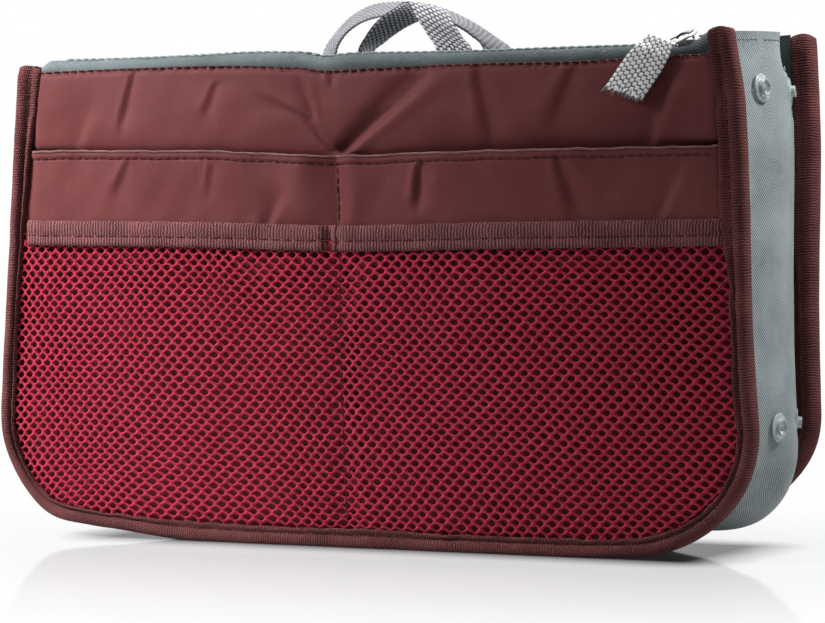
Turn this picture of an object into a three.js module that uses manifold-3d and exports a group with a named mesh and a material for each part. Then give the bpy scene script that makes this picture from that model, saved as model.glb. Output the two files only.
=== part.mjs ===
// Purse organizer insert: two bound walls, a folding gusset with press studs, a zip and two handles.
// Millimetres, +Z up, front wall facing -Y. The origin is on the floor, below the middle of the whole.
import * as THREE from "three";
import { mergeVertices } from "three/addons/utils/BufferGeometryUtils.js";
import Module from "manifold-3d";

const wasm = await Module();
wasm.setup();

// Walls, as seen from outside. A wall's own frame is x across, y up and z out of the bag.
const WIDTH = 285; // across the bindings at the widest height
const WALL_TOP = 170; // top of the bindings
const PANEL_DROP = 7; // wall panels and linings end this far below the bindings
const PANEL_TOP = WALL_TOP - PANEL_DROP;
const GUSSET_DROP = 2;
const GUSSET_TOP = WALL_TOP - GUSSET_DROP;
const CORNER_RADIUS = 44;
const CORNER_STEPS = 9;
const SIDE_TAPER = THREE.MathUtils.degToRad(3.5); // the sides come in towards the top
const FRONT_SEAM_Y = -33.8; // seam plane of the front wall
const REAR_SEAM_Y = 21.5; // seam plane of the rear wall, at the floor
const REAR_LEAN = THREE.MathUtils.degToRad(6); // the rear wall leans back

const GAP = 0.3; // between layers that lie on each other
const NYLON = 0.8;
const PANEL = 1.2;
const PANEL_INSET = 1.6;
const POCKET_INSET = 4;
const LINING_INSET = 9.6;

const BINDING_WIDTH = 8;
const BINDING_TAPE = 1;
const BINDING_EDGE = 1.2;
const FRONT_SLOT = 4.3; // front wall's binding takes the panel and both pockets
const REAR_SLOT = 2.7; // rear wall's binding takes the panel and one pocket

const SLIP_POCKET_OUT = 1.6;
const SLIP_POCKET_TOP = 134.3;
const HEM_HEIGHT = 3.2;
const HEM_THICKNESS = 1.3;

const NET_OUT = 3.4;
const NET_THICKNESS = 0.6;
const NET_TOP = 105;
const NET_PITCH = 10;
const NET_HOLE_RADIUS = 3.5;
const NET_MARGIN = 13.5; // hole centres stay this far inside the wall's outline
const NET_SELVEDGE = 8; // the top row's hole centres stay this far below the mesh's top edge
const POCKET_SEAM_X = -8; // the stitched line that parts the front pockets
const POCKET_SEAM_CLEAR = 5;
const NET_TAPE = {
  below: 3.5,
  above: 5.5,
  slot: 0.6,
  inner: 2.7,
  outer: 4.9,
  innerLeaf: 0.4,
  outerLeaf: 0.6,
};
const NET_TAPE_TOP = NET_TOP + NET_TAPE.above;

const FRONT_LINING_OUT = -7.2;
const FRONT_INNER_POCKET_TOP = 108;
const REAR_LINING_OUT = -3;
const REAR_INNER_POCKET_TOP = 100;
const REAR_POCKET_TOP = 118;

// Zip on the front wall's top
const ZIP_INSET = 17.5; // from the wall's widest place to the ends of the zip tapes
const ZIP_HALF = WIDTH / 2 - ZIP_INSET;
const ZIP_OUT = -3.2; // middle of the chain
const ZIP_TAPE = 0.6;
const COIL = {
  near: 0.6,
  far: 2.2,
  rise: 4.9,
  height: 1.6,
  turn: 0.45,
  pitch: 3,
  leftInset: 6,
  rightInset: 3.5,
};
const COIL_LEFT = -ZIP_HALF + COIL.leftInset;
const COIL_RIGHT = ZIP_HALF - COIL.rightInset;
const COIL_BOTTOM = PANEL_TOP + COIL.rise;
const COIL_TOP = COIL_BOTTOM + COIL.height;
// Across from the chain's middle, and up from the coils
const ZIP_TAPE_PATH = [[2.55, -13.9], [2.55, -3.9], [2.1, -1.9], [1, -0.7]];
const STOP = { half: 2, length: 2.5, gap: 0.4 };
const SLIDER = {
  inset: 6,
  half: 3.6,
  nose: 4.2,
  tail: 4.6,
  plate: 1.2,
  flange: 0.7,
  flangeDrop: 1.2,
  neck: 0.6,
  crown: 2,
};
const SLIDER_X = COIL_RIGHT - SLIDER.inset;
const SLIDER_BOTTOM = COIL_TOP + GAP; // under side of the slider's top plate
const SLIDER_TOP = SLIDER_BOTTOM + SLIDER.plate;
const CROWN = { half: 3.4, leg: 1, wide: 0.6, room: 1.2, bar: 0.9 };
const CROWN_CENTRE = SLIDER_TOP + SLIDER.crown; // height of the pull ring's wire in the crown
const RING_RADIUS = 5;
const RING_WIRE = 0.6;
const RING_ACROSS = new THREE.Vector3(0.75, 0, 0.66).normalize(); // wire's direction in the crown
const RING_ALONG = new THREE.Vector3(-0.614, -0.37, 0.698).normalize(); // from the crown to the ribbon
const EYE = { outer: 2.3, bore: 1.45, length: 5, shift: 0.3 };
const RIBBON_THICKNESS = 2.2;
const RIBBON_WIDTH = 13.5;
// Along and up from the crown, and out of the seam
const RIBBON_PATH = [[-7.6, -8, 7.4], [-13, -13.5, 7.3], [-19.5, -20.6, 7.2]];

// Gusset, from the front wall's seam to the rear wall's
const SEAM_OUT = -1.6; // the gusset's edges stand behind the bindings
const GUSSET_INSET = 8;
const GUSSET_THICKNESS = 1;
const SIDE_BULGE = 6.5;
const BASE_BULGE = 2;
const FRONT_BAND = 27;
const PLEAT = 18;
const SIDE_STEPS = 6;
const BASE_STEPS = 6;

// Press studs
const STUD_HEIGHTS = { upper: 154, lower: 42 };
const STUD_FROM_PLEAT = 5.4;
const STUD_SEGMENTS = 14;
const STUD_LIFT = 0.6; // the curved gusset keeps the flat flange this far off
const PIN_HOLE = 1.6;

// Handles
const STRAP_THICKNESS = 1.4;
const STRAP_WIDTH = 13;
const FOLD_RISE = 0.6;
const HANDLE_FOLD = PANEL_TOP + FOLD_RISE; // height of the fold line
const HANDLE_END = 39.6; // length that is sewn down
const SEWN_GAP = 0.35; // between a lining and the strap's sewn end
const FRONT_HANDLE = {
  left: 3,
  right: 30,
  apex: 15.5,
  rise: 17.8,
  out: FRONT_LINING_OUT - SEWN_GAP - STRAP_THICKNESS / 2,
  gap: 0.2,
  turn: Math.PI,
  turnFrom: 0.36,
  turnTo: 0.64,
};
const REAR_HANDLE = {
  left: -24,
  right: 42,
  apex: 9,
  rise: 25.2,
  out: REAR_LINING_OUT - SEWN_GAP - STRAP_THICKNESS / 2,
  gap: 0.6,
  turn: 0,
  turnFrom: 0.1,
  turnTo: 0.9,
};
const REAR_HANDLE_LEAN = THREE.MathUtils.degToRad(32);
const STRAP_STEPS = 30;

const organizer = new THREE.Group();

const frontWall = new THREE.Group();
frontWall.rotation.x = Math.PI / 2;
frontWall.position.y = FRONT_SEAM_Y;
organizer.add(frontWall);

const rearOuter = SLIP_POCKET_OUT + NYLON + GAP + BINDING_TAPE;
const rearLean = new THREE.Group();
rearLean.rotation.x = -REAR_LEAN;
rearLean.position.set(0, REAR_SEAM_Y, rearOuter * Math.sin(REAR_LEAN));
const rearTurn = new THREE.Group();
rearTurn.rotation.z = Math.PI;
const rearWall = new THREE.Group();
rearWall.rotation.x = Math.PI / 2;
rearTurn.add(rearWall);
rearLean.add(rearTurn);
organizer.add(rearLean);
organizer.updateMatrixWorld(true);

function add(parent, name, geometry) {
  const mesh = new THREE.Mesh(geometry);
  mesh.name = name;
  parent.add(mesh);
  return mesh;
}

// A geometry as a solid that booleans take, and back.
function solid(geometry) {
  const plain = geometry.index ? geometry.toNonIndexed() : geometry;
  const bare = new THREE.BufferGeometry().setAttribute("position", plain.getAttribute("position"));
  const merged = mergeVertices(bare, 1e-4);
  return new wasm.Manifold(
    new wasm.Mesh({
      numProp: 3,
      vertProperties: merged.attributes.position.array,
      triVerts: new Uint32Array(merged.index.array),
    }),
  );
}

function geometryOf(body) {
  const mesh = body.getMesh();
  const points = new Float32Array(mesh.numVert * 3);
  for (let i = 0; i < mesh.numVert; i++) {
    points.set(mesh.vertProperties.subarray(i * mesh.numProp, i * mesh.numProp + 3), i * 3);
  }
  const geometry = new THREE.BufferGeometry();
  geometry.setAttribute("position", new THREE.BufferAttribute(points, 3));
  geometry.setIndex(new THREE.BufferAttribute(mesh.triVerts, 1));
  return geometry;
}

function union(geometries) {
  return geometries.map(solid).reduce((whole, next) => whole.add(next));
}

function box(x0, x1, y0, y1, z0, z1) {
  const geometry = new THREE.BoxGeometry(x1 - x0, y1 - y0, z1 - z0);
  return geometry.translate((x0 + x1) / 2, (y0 + y1) / 2, (z0 + z1) / 2);
}

// A profile of [out, up] points, run across the wall from x = middle - half to middle + half.
function acrossWall(profile, half, middle = 0) {
  const shape = new THREE.Shape(profile.map(([out, up]) => new THREE.Vector2(out, up)));
  const geometry = new THREE.ExtrudeGeometry(shape, { depth: 2 * half, bevelEnabled: false });
  return geometry.rotateY(-Math.PI / 2).translate(middle + half, 0, 0);
}

// A wall's outline moved in by an inset, from its top left corner down and round to its top right.
function outline(inset, top, sideSteps = 1, baseSteps = 1) {
  const radius = CORNER_RADIUS - inset;
  const centreX = WIDTH / 2 - CORNER_RADIUS;
  const right = [];
  for (let i = 0; i < baseSteps; i++) {
    right.push(new THREE.Vector2((centreX * i) / baseSteps, inset));
  }
  if (baseSteps === 1) right.length = 0;
  for (let i = 0; i <= CORNER_STEPS; i++) {
    const angle = -Math.PI / 2 + (i / CORNER_STEPS) * (Math.PI / 2 + SIDE_TAPER);
    const up = CORNER_RADIUS + radius * Math.sin(angle);
    right.push(new THREE.Vector2(centreX + radius * Math.cos(angle), up));
  }
  const foot = right[right.length - 1];
  for (let i = 1; i <= sideSteps; i++) {
    const up = foot.y + ((top - foot.y) * i) / sideSteps;
    right.push(new THREE.Vector2(foot.x - (up - foot.y) * Math.tan(SIDE_TAPER), up));
  }
  const left = right.filter((p) => p.x > 1e-6).map((p) => new THREE.Vector2(-p.x, p.y));
  return [...left.reverse(), ...right];
}

// Half the wall's width at a height above its corners.
function sideX(up) {
  const footX = WIDTH / 2 - CORNER_RADIUS + CORNER_RADIUS * Math.cos(SIDE_TAPER);
  const footY = CORNER_RADIUS + CORNER_RADIUS * Math.sin(SIDE_TAPER);
  return footX - (up - footY) * Math.tan(SIDE_TAPER);
}

function insideOutline(x, up, inset) {
  const centreX = WIDTH / 2 - CORNER_RADIUS;
  if (up >= CORNER_RADIUS) return Math.abs(x) < sideX(up) - inset;
  if (Math.abs(x) <= centreX) return up > inset;
  return Math.hypot(Math.abs(x) - centreX, up - CORNER_RADIUS) < CORNER_RADIUS - inset;
}

function sheet(inset, top, out, thickness, holes = []) {
  const shape = new THREE.Shape(outline(inset, top));
  shape.holes = holes;
  const geometry = new THREE.ExtrudeGeometry(shape, { depth: thickness, bevelEnabled: false });
  return geometry.translate(0, 0, out);
}

// A pocket panel whose folded hem makes a thicker strip along the top.
function hemmedSheet(top, out) {
  const panel = sheet(POCKET_INSET, top, out, NYLON);
  const half = sideX(top) - BINDING_WIDTH - GAP;
  const hem = box(-half, half, top - HEM_HEIGHT, top - 0.05, out + 0.1, out + HEM_THICKNESS);
  return geometryOf(union([panel, hem]));
}

// Edge tape folded round a wall, open between its two lips.
function binding(slot) {
  const band = (outer, inner, top) =>
    new THREE.Shape([...outline(outer, top), ...outline(inner, top).reverse()]);
  const depth = slot + GAP + 2 * BINDING_TAPE;
  const tape = new THREE.ExtrudeGeometry(band(0, BINDING_WIDTH, WALL_TOP), { depth, bevelEnabled: false });
  tape.translate(0, 0, -GAP - BINDING_TAPE);
  const room = new THREE.ExtrudeGeometry(band(BINDING_EDGE, BINDING_WIDTH + 1, WALL_TOP + 1), {
    depth: slot + GAP,
    bevelEnabled: false,
  });
  room.translate(0, 0, -GAP);
  return geometryOf(solid(tape).subtract(solid(room)));
}

// The mesh: a thin sheet with rows of six-sided holes, each row set over by half a pitch.
function netHoles() {
  const holes = [];
  const rowStep = NET_PITCH * Math.sqrt(0.75);
  const firstRow = NET_TOP - NET_SELVEDGE;
  const reach = NET_PITCH * Math.ceil(WIDTH / 2 / NET_PITCH);
  for (let row = 0; row * rowStep < firstRow; row++) {
    const up = firstRow - row * rowStep;
    const shift = row % 2 ? NET_PITCH / 2 : 0;
    for (let x = -reach + shift; x <= reach; x += NET_PITCH) {
      if (!insideOutline(x, up, NET_MARGIN)) continue;
      if (Math.abs(x - POCKET_SEAM_X) < POCKET_SEAM_CLEAR) continue;
      const hole = new THREE.Path();
      for (let corner = 0; corner < 6; corner++) {
        const angle = ((corner + 0.5) * Math.PI) / 3;
        const point = [x + NET_HOLE_RADIUS * Math.sin(angle), up + NET_HOLE_RADIUS * Math.cos(angle)];
        if (corner === 0) hole.moveTo(...point);
        else hole.lineTo(...point);
      }
      hole.closePath();
      holes.push(hole);
    }
  }
  return holes;
}

// A flat strip along a row of stations {centre, across (unit vector), width}.
function strip(stations, thickness) {
  const corners = stations.map((station, i) => {
    const before = stations[Math.max(i - 1, 0)].centre;
    const after = stations[Math.min(i + 1, stations.length - 1)].centre;
    const along = after.clone().sub(before).normalize();
    const face = along.clone().cross(station.across).normalize();
    const side = station.across.clone().multiplyScalar(station.width / 2);
    const lift = face.multiplyScalar(thickness / 2);
    const at = (s, f) => station.centre.clone().addScaledVector(side, s).addScaledVector(lift, f);
    return [at(-1, -1), at(1, -1), at(1, 1), at(-1, 1)];
  });
  const triangles = [];
  const quad = (a, b, c, d) => triangles.push(a, b, c, a, c, d);
  for (let i = 0; i + 1 < corners.length; i++) {
    for (let k = 0; k < 4; k++) {
      const next = (k + 1) % 4;
      quad(corners[i][k], corners[i][next], corners[i + 1][next], corners[i + 1][k]);
    }
  }
  const [first, last] = [corners[0], corners[corners.length - 1]];
  quad(first[0], first[3], first[2], first[1]);
  quad(last[0], last[1], last[2], last[3]);
  return new THREE.BufferGeometry().setFromPoints(triangles);
}

// A thin curved sheet between two grids of points, the outer one and the inner one.
function shell(outer, inner) {
  const triangles = [];
  const quad = (a, b, c, d) => triangles.push(a, c, b, a, d, c);
  const rows = outer.length;
  const columns = outer[0].length;
  for (let i = 0; i + 1 < rows; i++) {
    for (let k = 0; k + 1 < columns; k++) {
      quad(outer[i][k], outer[i + 1][k], outer[i + 1][k + 1], outer[i][k + 1]);
      quad(inner[i][k], inner[i][k + 1], inner[i + 1][k + 1], inner[i + 1][k]);
    }
    quad(outer[i][0], inner[i][0], inner[i + 1][0], outer[i + 1][0]);
    const end = columns - 1;
    quad(outer[i][end], outer[i + 1][end], inner[i + 1][end], inner[i][end]);
  }
  for (let k = 0; k + 1 < columns; k++) {
    quad(outer[0][k], outer[0][k + 1], inner[0][k + 1], inner[0][k]);
    const end = rows - 1;
    quad(outer[end][k], inner[end][k], inner[end][k + 1], outer[end][k + 1]);
  }
  return new THREE.BufferGeometry().setFromPoints(triangles);
}

// Front wall
add(frontWall, "front_panel", sheet(PANEL_INSET, PANEL_TOP, 0, PANEL));
add(frontWall, "front_slip_pocket", hemmedSheet(SLIP_POCKET_TOP, SLIP_POCKET_OUT));
add(frontWall, "front_mesh_pocket", sheet(POCKET_INSET, NET_TOP, NET_OUT, NET_THICKNESS, netHoles()));
const tapeInside = NET_TAPE.inner + NET_TAPE.innerLeaf;
const tapeOutside = NET_TAPE.outer - NET_TAPE.outerLeaf;
const tapeBottom = NET_TOP - NET_TAPE.below;
const tapeSlot = NET_TOP + NET_TAPE.slot;
add(
  frontWall,
  "mesh_pocket_tape",
  acrossWall(
    [
      [NET_TAPE.inner, tapeBottom],
      [tapeInside, tapeBottom],
      [tapeInside, tapeSlot],
      [tapeOutside, tapeSlot],
      [tapeOutside, tapeBottom],
      [NET_TAPE.outer, tapeBottom],
      [NET_TAPE.outer, NET_TAPE_TOP],
      [NET_TAPE.inner, NET_TAPE_TOP],
    ],
    sideX(NET_TAPE_TOP) - BINDING_WIDTH - GAP,
  ),
);
add(frontWall, "front_binding", binding(FRONT_SLOT));
add(frontWall, "front_lining", sheet(LINING_INSET, PANEL_TOP, FRONT_LINING_OUT, NYLON));
const frontInnerOut = FRONT_LINING_OUT - GAP - NYLON;
add(frontWall, "front_inner_pocket", sheet(LINING_INSET, FRONT_INNER_POCKET_TOP, frontInnerOut, NYLON));

// Rear wall
add(rearWall, "rear_panel", sheet(PANEL_INSET, PANEL_TOP, 0, PANEL));
add(rearWall, "rear_slip_pocket", sheet(POCKET_INSET, REAR_POCKET_TOP, SLIP_POCKET_OUT, NYLON));
add(rearWall, "rear_binding", binding(REAR_SLOT));
add(rearWall, "rear_lining", sheet(LINING_INSET, PANEL_TOP, REAR_LINING_OUT, NYLON));
const rearInnerOut = REAR_LINING_OUT - GAP - NYLON;
add(rearWall, "rear_inner_pocket", sheet(LINING_INSET, REAR_INNER_POCKET_TOP, rearInnerOut, NYLON));

// Zip: each tape rises out of the pocket and turns in under its coil.
function zipTape(side) {
  const middle = ZIP_TAPE_PATH.map(
    ([out, up]) => new THREE.Vector2(ZIP_OUT + side * out, COIL_BOTTOM + up),
  );
  const shifted = (by) =>
    middle.map((point, i) => {
      const from = middle[Math.max(i - 1, 0)];
      const to = middle[Math.min(i + 1, middle.length - 1)];
      const along = to.clone().sub(from).normalize();
      return [point.x - along.y * by, point.y + along.x * by];
    });
  return acrossWall([...shifted(ZIP_TAPE / 2), ...shifted(-ZIP_TAPE / 2).reverse()], ZIP_HALF);
}

// One side of the chain: its turns stand up as a row of ribs, set over by half a pitch on the other side.
function zipCoil(side) {
  const valley = COIL_TOP - COIL.turn;
  const line = [[COIL_LEFT, COIL_BOTTOM], [COIL_RIGHT, COIL_BOTTOM], [COIL_RIGHT, valley]];
  const shift = side > 0 ? 0 : COIL.pitch / 2;
  for (let x = COIL_RIGHT - COIL.pitch - shift; x > COIL_LEFT + COIL.pitch; x -= COIL.pitch) {
    line.push([x + COIL.pitch * 0.35, valley]);
    line.push([x + COIL.pitch * 0.2, COIL_TOP]);
    line.push([x - COIL.pitch * 0.2, COIL_TOP]);
    line.push([x - COIL.pitch * 0.35, valley]);
  }
  line.push([COIL_LEFT, valley]);
  const shape = new THREE.Shape(line.map(([x, up]) => new THREE.Vector2(x, up)));
  const geometry = new THREE.ExtrudeGeometry(shape, { depth: COIL.far - COIL.near, bevelEnabled: false });
  return geometry.translate(0, 0, ZIP_OUT + (side > 0 ? COIL.near : -COIL.far));
}

function zipStop(from, to) {
  return box(from, to, COIL_BOTTOM, COIL_TOP, ZIP_OUT - STOP.half, ZIP_OUT + STOP.half);
}

add(frontWall, "zip_tape_front", zipTape(1));
add(frontWall, "zip_tape_rear", zipTape(-1));
add(frontWall, "zip_coil_front", zipCoil(1));
add(frontWall, "zip_coil_rear", zipCoil(-1));
add(frontWall, "zip_stop_left", zipStop(COIL_LEFT - STOP.gap - STOP.length, COIL_LEFT - STOP.gap));
add(frontWall, "zip_stop_right", zipStop(COIL_RIGHT + STOP.gap, COIL_RIGHT + STOP.gap + STOP.length));

// Slider: top plate with side flanges, neck between the coils, narrow plate below, and a ring's crown.
function sliderBody() {
  const { half, nose, tail, plate, flange, flangeDrop, neck } = SLIDER;
  const shoulder = nose - 2.7; // where the plate reaches its full width
  const plan = [
    [-nose, half - 1.2],
    [-shoulder, half],
    [nose, half],
    [tail, half - 0.8],
  ];
  const mirrored = plan.map(([x, out]) => [x, -out]).reverse();
  const shape = new THREE.Shape([...plan, ...mirrored].map(([x, out]) => new THREE.Vector2(x, -out)));
  const top = new THREE.ExtrudeGeometry(shape, { depth: plate, bevelEnabled: false });
  top.rotateX(-Math.PI / 2).translate(0, SLIDER_BOTTOM, 0);
  const flangeBottom = COIL_TOP - flangeDrop;
  const sunk = 0.1; // pieces of the one casting run into each other by this
  const legBottom = SLIDER_TOP - sunk;
  const barBottom = CROWN_CENTRE + CROWN.room;
  const legTop = barBottom + 2 * sunk;
  const pieces = [
    top,
    box(-shoulder, nose, flangeBottom, SLIDER_BOTTOM + sunk, half - flange, half),
    box(-shoulder, nose, flangeBottom, SLIDER_BOTTOM + sunk, -half, -half + flange),
    box(neck, CROWN.half, COIL_BOTTOM - 2.3, SLIDER_BOTTOM + sunk, -neck / 2, neck / 2),
    box(-nose + neck, nose - 0.2, COIL_BOTTOM - 2.7, COIL_BOTTOM - 1.9, -2 * neck, 2 * neck),
    box(-CROWN.half, -CROWN.half + CROWN.leg, legBottom, legTop, -CROWN.wide, CROWN.wide),
    box(CROWN.half - CROWN.leg, CROWN.half, legBottom, legTop, -CROWN.wide, CROWN.wide),
    box(-CROWN.half, CROWN.half, barBottom, barBottom + CROWN.bar, -CROWN.wide, CROWN.wide),
  ];
  return geometryOf(union(pieces)).translate(SLIDER_X, 0, ZIP_OUT);
}

const crown = new THREE.Vector3(SLIDER_X, CROWN_CENTRE, ZIP_OUT);
const ringCentre = crown.clone().addScaledVector(RING_ALONG, RING_RADIUS);
const ringFar = crown.clone().addScaledVector(RING_ALONG, 2 * RING_RADIUS);

function pullRing() {
  const geometry = new THREE.TorusGeometry(RING_RADIUS, RING_WIRE, 8, 24);
  const normal = RING_ALONG.clone().cross(RING_ACROSS);
  geometry.applyMatrix4(new THREE.Matrix4().makeBasis(RING_ALONG, RING_ACROSS, normal));
  return geometry.translate(ringCentre.x, ringCentre.y, ringCentre.z);
}

// Ribbon: a short sewn eye round the ring, then doubled webbing that hangs down and turns to face the front.
function pullRibbon() {
  const eyeCentre = ringFar.clone().addScaledVector(RING_ALONG, -EYE.shift);
  const rim = new THREE.Shape().absarc(0, 0, EYE.outer, 0, 2 * Math.PI);
  rim.holes.push(new THREE.Path().absarc(0, 0, EYE.bore, 0, 2 * Math.PI));
  const eye = new THREE.ExtrudeGeometry(rim, { depth: EYE.length, bevelEnabled: false, curveSegments: 14 });
  eye.translate(0, 0, -EYE.length / 2);
  eye.applyQuaternion(new THREE.Quaternion().setFromUnitVectors(new THREE.Vector3(0, 0, 1), RING_ACROSS));
  eye.translate(eyeCentre.x, eyeCentre.y, eyeCentre.z);
  const hanging = new THREE.Vector3(0.97, -0.24, 0).normalize();
  const path = new THREE.CatmullRomCurve3([
    eyeCentre.clone().add(new THREE.Vector3(-0.4, -1.9, 0.2)),
    ...RIBBON_PATH.map(([along, up, out]) => new THREE.Vector3(SLIDER_X + along, CROWN_CENTRE + up, out)),
  ]);
  const steps = 12;
  const stations = [];
  for (let i = 0; i <= steps; i++) {
    const t = i / steps;
    const turned = THREE.MathUtils.smoothstep(t, 0, 0.5);
    const across = RING_ACROSS.clone().lerp(hanging, turned).normalize();
    const width = THREE.MathUtils.lerp(EYE.length - 0.2, RIBBON_WIDTH, turned);
    stations.push({ centre: path.getPoint(t), across, width });
  }
  return geometryOf(union([eye, strip(stations, RIBBON_THICKNESS)]));
}

add(frontWall, "zip_slider_body", sliderBody());
add(frontWall, "zip_pull_ring", pullRing());
add(frontWall, "zip_pull_ribbon", pullRibbon());

// Gusset: a U of nylon from wall to wall that swells outwards between its seams.
const gussetLine = outline(GUSSET_INSET, GUSSET_TOP, SIDE_STEPS, BASE_STEPS);
const gussetNormals = gussetLine.map((_, i) => {
  const from = gussetLine[Math.max(i - 1, 0)];
  const to = gussetLine[Math.min(i + 1, gussetLine.length - 1)];
  const along = to.clone().sub(from).normalize();
  return new THREE.Vector3(along.y, 0, -along.x);
});

function gussetSeams(i) {
  const { x, y } = gussetLine[i];
  return [
    frontWall.localToWorld(new THREE.Vector3(x, y, SEAM_OUT)),
    rearWall.localToWorld(new THREE.Vector3(-x, y, SEAM_OUT)),
  ];
}

// A point of the gusset's outer face, or of its inner one, at a distance behind the front seam.
function gussetPoint(i, distance, depthIn) {
  const [front, rear] = gussetSeams(i);
  const across = front.distanceTo(rear);
  const share = Math.min(distance / across, 1);
  const normal = gussetNormals[i];
  const swell = SIDE_BULGE * Math.abs(normal.x) + BASE_BULGE * Math.abs(normal.z);
  const bulge = swell * Math.sin(Math.PI * share);
  return front.clone().lerp(rear, share).addScaledVector(normal, bulge - depthIn);
}

function gussetDepth(i) {
  const [front, rear] = gussetSeams(i);
  return front.distanceTo(rear);
}

function gussetBand(from, to, columns) {
  const grid = (depthIn) =>
    gussetLine.map((_, i) => {
      const row = [];
      for (let k = 0; k <= columns; k++) {
        row.push(gussetPoint(i, THREE.MathUtils.lerp(from(i), to(i), k / columns), depthIn));
      }
      return row;
    });
  return shell(grid(0), grid(GUSSET_THICKNESS));
}

// Where a stud sits: a place on the side's outer face and the direction straight out of it.
function studPlace(side, height, distance) {
  const sideways = gussetLine.map((p, i) => i).filter((i) => Math.sign(gussetLine[i].x) === side);
  const order = sideways.sort((a, b) => gussetLine[a].y - gussetLine[b].y);
  const above = order.findIndex((i) => gussetLine[i].y > height);
  const [low, high] = [order[above - 1], order[above]];
  const share = (height - gussetLine[low].y) / (gussetLine[high].y - gussetLine[low].y);
  const at = (d) => gussetPoint(low, d, 0).lerp(gussetPoint(high, d, 0), share);
  const place = at(distance);
  const alongDepth = at(distance + 2).sub(at(distance - 2));
  const alongHeight = gussetPoint(high, distance, 0).sub(gussetPoint(low, distance, 0));
  const out = alongDepth.cross(alongHeight).normalize();
  if (out.x * side < 0) out.negate();
  return { place, out };
}

// A turned piece whose axis is z, from its profile of radius and height.
function lathed(profile) {
  const points = profile.map(([radius, up]) => new THREE.Vector2(radius, up));
  return new THREE.LatheGeometry(points, STUD_SEGMENTS).rotateX(Math.PI / 2);
}

function socket() {
  const flange = [[1.5, 0], [4.8, 0], [4.8, 0.8], [3.2, 1.1]];
  const collar = [[3, 2.7], [2.2, 2.7], [2.1, 1.1], [1.5, 1.1], [1.5, 0]];
  return lathed([...flange, ...collar]);
}

function stud() {
  const flange = [[1.5, 0], [4.8, 0], [4.8, 0.8], [2.1, 1.1]];
  const knob = [[1.9, 2.2], [2.05, 2.8], [1.8, 3.3], [1.5, 3.3], [1.5, 0]];
  return lathed([...flange, ...knob]);
}

// The inside cap, whose pin runs out through the gusset and the stud.
function studCap() {
  return lathed([[0, -1], [4.6, -0.9], [5.1, -0.5], [4.9, 0], [1.2, 0], [1.1, 3], [0, 3.1]]);
}

const lastColumn = (i) => gussetDepth(i);
let frontBand = solid(gussetBand(() => 0, () => FRONT_BAND - GAP / 2, 6));
let rearBand = solid(gussetBand(() => FRONT_BAND + PLEAT + GAP / 2, lastColumn, 4));
for (const [sideName, side] of [["left", -1], ["right", 1]]) {
  for (const [level, height] of Object.entries(STUD_HEIGHTS)) {
    const spots = [
      ["socket", socket(), FRONT_BAND - STUD_FROM_PLEAT],
      ["stud", stud(), FRONT_BAND + PLEAT + STUD_FROM_PLEAT],
    ];
    for (const [kind, geometry, distance] of spots) {
      const { place, out } = studPlace(side, height, distance);
      const turn = new THREE.Quaternion().setFromUnitVectors(new THREE.Vector3(0, 0, 1), out);
      const set = (shape, lift) => {
        const at = place.clone().addScaledVector(out, lift);
        return shape.applyQuaternion(turn).translate(at.x, at.y, at.z);
      };
      const name = sideName + "_" + level + "_" + kind;
      add(organizer, name, set(geometry, STUD_LIFT));
      add(organizer, name + "_cap", set(studCap(), -GUSSET_THICKNESS - STUD_LIFT));
      const drill = new THREE.CylinderGeometry(PIN_HOLE, PIN_HOLE, 8, STUD_SEGMENTS).rotateX(Math.PI / 2);
      if (kind === "socket") frontBand = frontBand.subtract(solid(set(drill, 0)));
      else rearBand = rearBand.subtract(solid(set(drill, 0)));
    }
  }
}
add(organizer, "gusset_front_band", geometryOf(frontBand));
const pleatFrom = () => FRONT_BAND + GAP / 2;
const pleatTo = () => FRONT_BAND + PLEAT - GAP / 2;
add(organizer, "gusset_pleat", gussetBand(pleatFrom, pleatTo, 4));
add(organizer, "gusset_rear_band", geometryOf(rearBand));

// Handles: a strap sewn flat on the lining at both ends, whose loop turns to lie across at the top.
function handleLoop(handle, lean) {
  const foot = HANDLE_FOLD + handle.gap;
  const rise = handle.rise - handle.gap;
  const at = (x, share) => new THREE.Vector3(x, foot + rise * share, handle.out);
  const path = new THREE.CatmullRomCurve3([
    at(handle.left, 0),
    at(THREE.MathUtils.lerp(handle.left, handle.apex, 0.22), 0.34),
    at(THREE.MathUtils.lerp(handle.left, handle.apex, 0.6), 0.79),
    at(handle.apex, 1),
    at(THREE.MathUtils.lerp(handle.right, handle.apex, 0.6), 0.79),
    at(THREE.MathUtils.lerp(handle.right, handle.apex, 0.22), 0.34),
    at(handle.right, 0),
  ]);
  const stations = [];
  for (let i = 0; i <= STRAP_STEPS; i++) {
    const t = i / STRAP_STEPS;
    const along = path.getTangent(t);
    const level = new THREE.Vector3(Math.sign(along.y), 0, 0);
    const bent = THREE.MathUtils.smoothstep(Math.min(t, 1 - t), 0, 0.16);
    const flat = level.lerp(new THREE.Vector3(along.y, -along.x, 0), bent).normalize();
    const risen = THREE.MathUtils.smoothstep(t, handle.turnFrom, 0.5);
    const fallen = THREE.MathUtils.smoothstep(t, 0.5, handle.turnTo);
    const turn = handle.turn ? ((risen + fallen) * Math.PI) / 2 : ((risen - fallen) * Math.PI) / 2;
    const across = flat.multiplyScalar(Math.cos(turn)).add(new THREE.Vector3(0, 0, Math.sin(turn)));
    stations.push({ centre: path.getPoint(t), across, width: STRAP_WIDTH });
  }
  const geometry = strip(stations, STRAP_THICKNESS);
  geometry.translate(0, -HANDLE_FOLD, -handle.out);
  geometry.rotateX(lean);
  return geometry.translate(0, HANDLE_FOLD, handle.out);
}

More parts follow.
